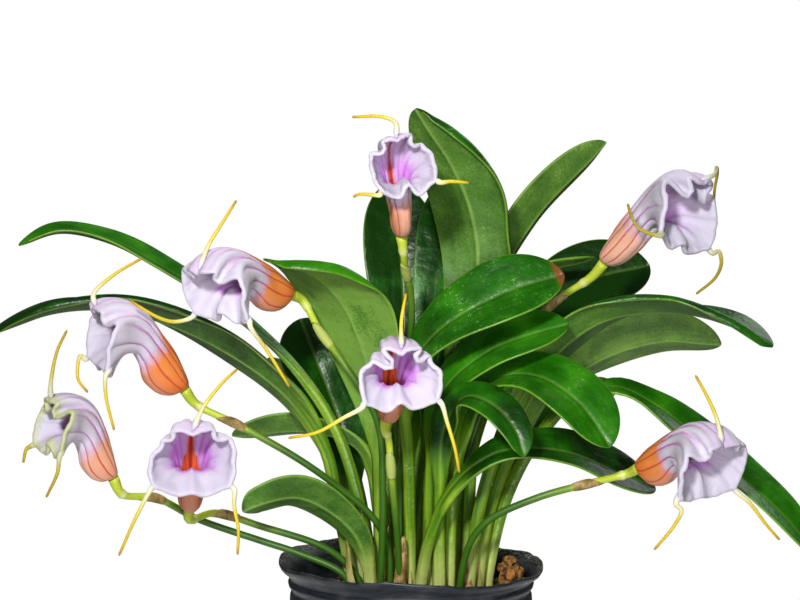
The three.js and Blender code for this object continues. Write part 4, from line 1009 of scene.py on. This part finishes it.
def mixSkin():
    wall = potRadiusAt(mixLevel) - potWall - mixGap
    angle = turnIn(mixSides)
    share = np.linspace(1, 0.02, mixRings)[:, None]
    radius = share * wall * 0.985
    x, y = radius * np.cos(angle), radius * np.sin(angle)
    height = mixLevel + mixDome * (1 - share ** 2) + 0.55 * bumpy(x, y, 3, 5.5) + 0.4 * bumpy(x, y, 4, 2.2)
    side = [ringAt(potRadiusAt(z) - potWall - mixGap - (1 if z < 2 else 0), angle, z)
            for z in mixHeights]
    warm = np.concatenate([np.zeros((len(side), mixSides)), 0.4 + 0.4 * bumpy(x, y, 9, 7)])
    return skinOf(np.concatenate([side, ringAt(radius, angle, height)]), {"warm": warm})


chipSides = 8
chipRings = ((-1, 0.55), (-0.7, 0.92), (0, 1.0), (0.7, 0.9), (1, 0.5))  # level and width, as shares
chipWear = (0.82, 1.1)
chipTurn = 6.3  # radians, a whole turn


# A chip or crumb of bark: a block with worn, uneven faces.
def chipSkin(place, size, turn, draw, warm):
    rings = []
    for level, shrink in chipRings:
        ring = []
        for k in range(chipSides):
            a = (k + 0.5) / chipSides * 2 * math.pi
            square = 1 / max(abs(math.cos(a)), abs(math.sin(a))) ** 0.8
            wear = shrink * square * draw.uniform(*chipWear)
            x, y = size[0] / 2 * math.cos(a) * wear, size[1] / 2 * math.sin(a) * wear
            ring.append([x, y, size[2] / 2 * level])
        rings.append(ring)
    return skinOf(np.array(rings) @ turn.T + place, {"warm": warm})


# A chip of a heap, turned at random within the heap's tilt.
def heapChip(heap, place, size, draw):
    tilt = heap["tilt"]
    x, y, z = draw.uniform(-tilt, tilt), draw.uniform(-tilt, tilt), draw.uniform(0, chipTurn)
    turn = Matrix.Rotation(z, 3, "Z") @ Matrix.Rotation(y, 3, "Y") @ Matrix.Rotation(x, 3, "X")
    return chipSkin(place, size, np.array(turn), draw, draw.uniform(*heap["warm"]))


stands = [row["slot"] for row in leaves] + [bloom["slot"] for bloom in blooms]


def clearOfStalks(x, y, gap):
    return all(math.hypot(x - sx, y - sy) > gap for sx, sy in stands)


# Loose chips lie on the mix, and the crumbling lump leans on the right wall. Sizes are in mm, and tilts in
# radians; scale: the smallest and the largest share of the size.
domeReach = 42
loose = {"count": 170, "reach": 39, "size": (5.5, 3.6, 1.9), "scale": (0.4, 1.25), "rise": (0, 1.2),
         "tilt": 0.5, "warm": (-0.2, 0.9)}
lump = {"count": 95, "place": (36, 2, 76), "reach": (4.2, 7, 7.6), "size": (4.6, 3.4, 2.4),
        "scale": (0.45, 1.1), "tilt": 1.5, "warm": (0.4, 1.4), "wall": 41.5, "bottom": 69}


def barkPieces():
    draw = np.random.default_rng(21)
    skins = []
    while len(skins) < loose["count"]:
        reach, a = loose["reach"] * math.sqrt(draw.uniform()), draw.uniform(0, 2 * math.pi)
        x, y = reach * math.cos(a), reach * math.sin(a)
        size = np.array(loose["size"]) * draw.uniform(*loose["scale"])
        if not clearOfStalks(x, y, 2.2 + size[0] * 0.4):
            continue
        level = mixLevel + mixDome * (1 - (reach / domeReach) ** 2) + draw.uniform(*loose["rise"])
        skins.append(heapChip(loose, np.array([x, y, level]), size, draw))
    for n in range(lump["count"]):
        spot = unit(draw.normal(0, 1, 3)) * draw.uniform(0.35, 1) ** 0.5
        place = np.array(lump["place"]) + spot * np.array(lump["reach"])
        if math.hypot(place[0], place[1]) > lump["wall"] or place[2] < lump["bottom"]:
            continue
        size = np.array(lump["size"]) * draw.uniform(*lump["scale"])
        skins.append(heapChip(lump, place, size, draw))
    return skins


# Moss cushions: short pointed leaflets, highest in the middle. Each has its place and its spread, in mm.
cushions = [(-30, -14, 7), (-24, -24, 6), (27, -20, 6), (33, -12, 5), (-33, 4, 6), (8, -31, 6), (-6, -33, 5),
            (22, 25, 7), (-18, 28, 6), (35, 14, 4)]
moss = {"stalks": 70, "reach": 40, "clear": 2.6, "heights": (1.6, 4.2), "widths": (0.35, 0.7), "lean": 0.5}
mossRings = ((1, 0), (1.2, 0.4), (0.15, 1))  # width and level, as shares


def mossPieces():
    draw = np.random.default_rng(33)
    skins = []
    for cx, cy, spread in cushions:
        for n in range(moss["stalks"]):
            x, y = cx + draw.normal(0, spread / 2), cy + draw.normal(0, spread / 2)
            if math.hypot(x, y) > moss["reach"] or not clearOfStalks(x, y, moss["clear"]):
                continue
            nearness = math.exp(-((x - cx) ** 2 + (y - cy) ** 2) / spread ** 2)
            height = draw.uniform(*moss["heights"]) * nearness
            foot = [x, y, mixLevel + mixDome * (1 - (x * x + y * y) / domeReach ** 2) - 0.2]
            lean = draw.normal(0, moss["lean"], 2)
            width = draw.uniform(*moss["widths"])
            ring = np.array([[width * math.cos(a), width * math.sin(a), 0] for a in (0, 2.1, 4.2)])
            rise = np.array([lean[0], lean[1], 1.0]) * (height + 0.8)
            rings = [ring * narrow + foot + rise * up for narrow, up in mossRings]
            skins.append(skinOf(rings, {"tip": np.array([[up] for narrow, up in mossRings])}))
    return skins


sheath = {"sides": 18, "rings": 14, "heights": (9, 26), "lean": 0.02, "radius": 2.12, "thin": 0.9}


# Dry sheaths wrap the stalks' bases: thin, split to the foot on one side, drawn to a point on the other.
def sheathPieces():
    draw = np.random.default_rng(55)
    skins = []
    for slot in stands:
        if draw.uniform() > 0.5:
            continue
        height = draw.uniform(*sheath["heights"])
        lean = draw.normal(0, sheath["lean"], 2)
        turn = turnIn(sheath["sides"])
        pointed = (0.5 + 0.5 * np.cos(turn - draw.uniform(0, 2 * math.pi))) ** 2
        rings = []
        for share in np.linspace(0, 1, sheath["rings"]):
            radius = sheath["radius"] + 0.45 * share ** 2 + 0.4 * (1 - share) ** 3
            radius = radius + 0.12 * ripple(turn, 5, (3, 5, 7))
            level = mixLevel + 0.5 + share * height * (0.12 + 0.88 * pointed)
            rings.append(ringAt(radius, turn, level, np.array(slot) + lean * share * height))
        outer = np.array(rings)
        centres = outer.mean(1, keepdims=True) * [1, 1, 0] + outer * [0, 0, 1]
        inner = centres + (outer - centres) * sheath["thin"]
        rings = np.concatenate([outer, inner[::-1]])
        skins.append(skinOf(rings, {"fresh": draw.uniform(0, 0.5)}, (False, False)))
    return skins


bark = milledBark(mixLook)
addPiece("potting_mix_top", [mixSkin()], bark, ["potting_mix"])
addPiece("bark_chips", barkPieces(), bark)
addPiece("moss_cushions", mossPieces(), livingMoss(mossLook))
addPiece("dry_sheaths", sheathPieces(), sheathSkin)
print("mix done")


# ---- floor, light and camera ----
# Painted board, rolled: matt and nearly white, finely stippled. It fades out towards its edge.
floorLook = {"paint": ("#F1F1EF", "#F6F6F4"), "rough": 0.9,
             "stipple": 3,  # mm
             "fade": (0.16, 0.34)}  # metres from its middle
floorRadius = 0.36


def paintedBoard(look):
    material, add = newMaterial("matt_painted_board_rolled")
    where = add("TexCoord").outputs["Object"]
    colour = add("ValToRGB", noiseOf(add, where, look["stipple"]), stops=zip((0.3, 0.7), look["paint"]))
    reach = add("VectorMath", where, operation="LENGTH").outputs["Value"]
    away = add("MapRange", reach, *look["fade"], interpolation_type="SMOOTHSTEP")
    shader = add("BsdfPrincipled", Base_Color=colour, Roughness=look["rough"], IOR=1.45)
    add("OutputMaterial", Surface=add("MixShader", away, shader, add("BsdfTransparent")))
    return material


bpy.ops.mesh.primitive_circle_add(vertices=128, radius=floorRadius, fill_type="NGON", location=(0, 0, 0))
floor = bpy.context.object
floor.name = "studio_floor"
floor.data.materials.append(paintedBoard(floorLook))

# The world is seen white, and lights the scene only faintly.
world = bpy.data.worlds.new("pale_studio")
world.use_nodes = True
world.node_tree.nodes.clear()
add = partial(addNode, world.node_tree)
glow = add("MapRange", add("LightPath").outputs["Is Camera Ray"], 0.0, 1.0, 0.05, 1.0)
add("OutputWorld", Surface=add("Background", Color="#FFFFFF", Strength=glow))
bpy.context.scene.world = world


# Soft lamps. Places and sizes are in metres and spread is in degrees; one without gloss isn't mirrored.
def addLight(name, place, aim, size, watts, spread=180, gloss=True):
    lamp = bpy.data.lights.new(name, "AREA")
    lamp.shape, lamp.size, lamp.energy, lamp.spread = "DISK", size, watts, spread * degree
    light = bpy.data.objects.new(name, lamp)
    light.location = place
    light.rotation_mode = "QUATERNION"
    light.rotation_quaternion = (Vector(aim) - Vector(place)).to_track_quat("-Z", "Y")
    light.visible_glossy = gloss
    bpy.context.scene.collection.objects.link(light)


addLight("key_softbox", (-0.16, -0.86, 0.48), (0, 0, 0.14), 0.1, 0.85, 60)
addLight("front_fill", (0.12, -0.9, 0.16), (0, 0, 0.16), 0.25, 0.34, 60)
addLight("back_softbox", (0.7, 0.9, 0.8), (0, 0, 0.12), 0.6, 1.4)
addLight("high_fill", (0.1, 0.55, 0.95), (0, 0, 0.14), 0.4, 0.9, 60, gloss=False)

camera = bpy.data.objects.new("camera", bpy.data.cameras.new("camera"))
bpy.context.scene.collection.objects.link(camera)
eye, aim = Vector((-0.004, -0.8, 0.225)), Vector((-0.004, 0, 0.177))
seenWidth = 0.288  # metres, where the camera aims
camera.location = eye
camera.rotation_mode = "QUATERNION"
camera.rotation_quaternion = (aim - eye).to_track_quat("-Z", "Y")
camera.data.lens = camera.data.sensor_width * (aim - eye).length / seenWidth
camera.data.clip_start = 0.01
bpy.context.scene.camera = camera
bpy.context.scene.view_settings.view_transform = "Standard"
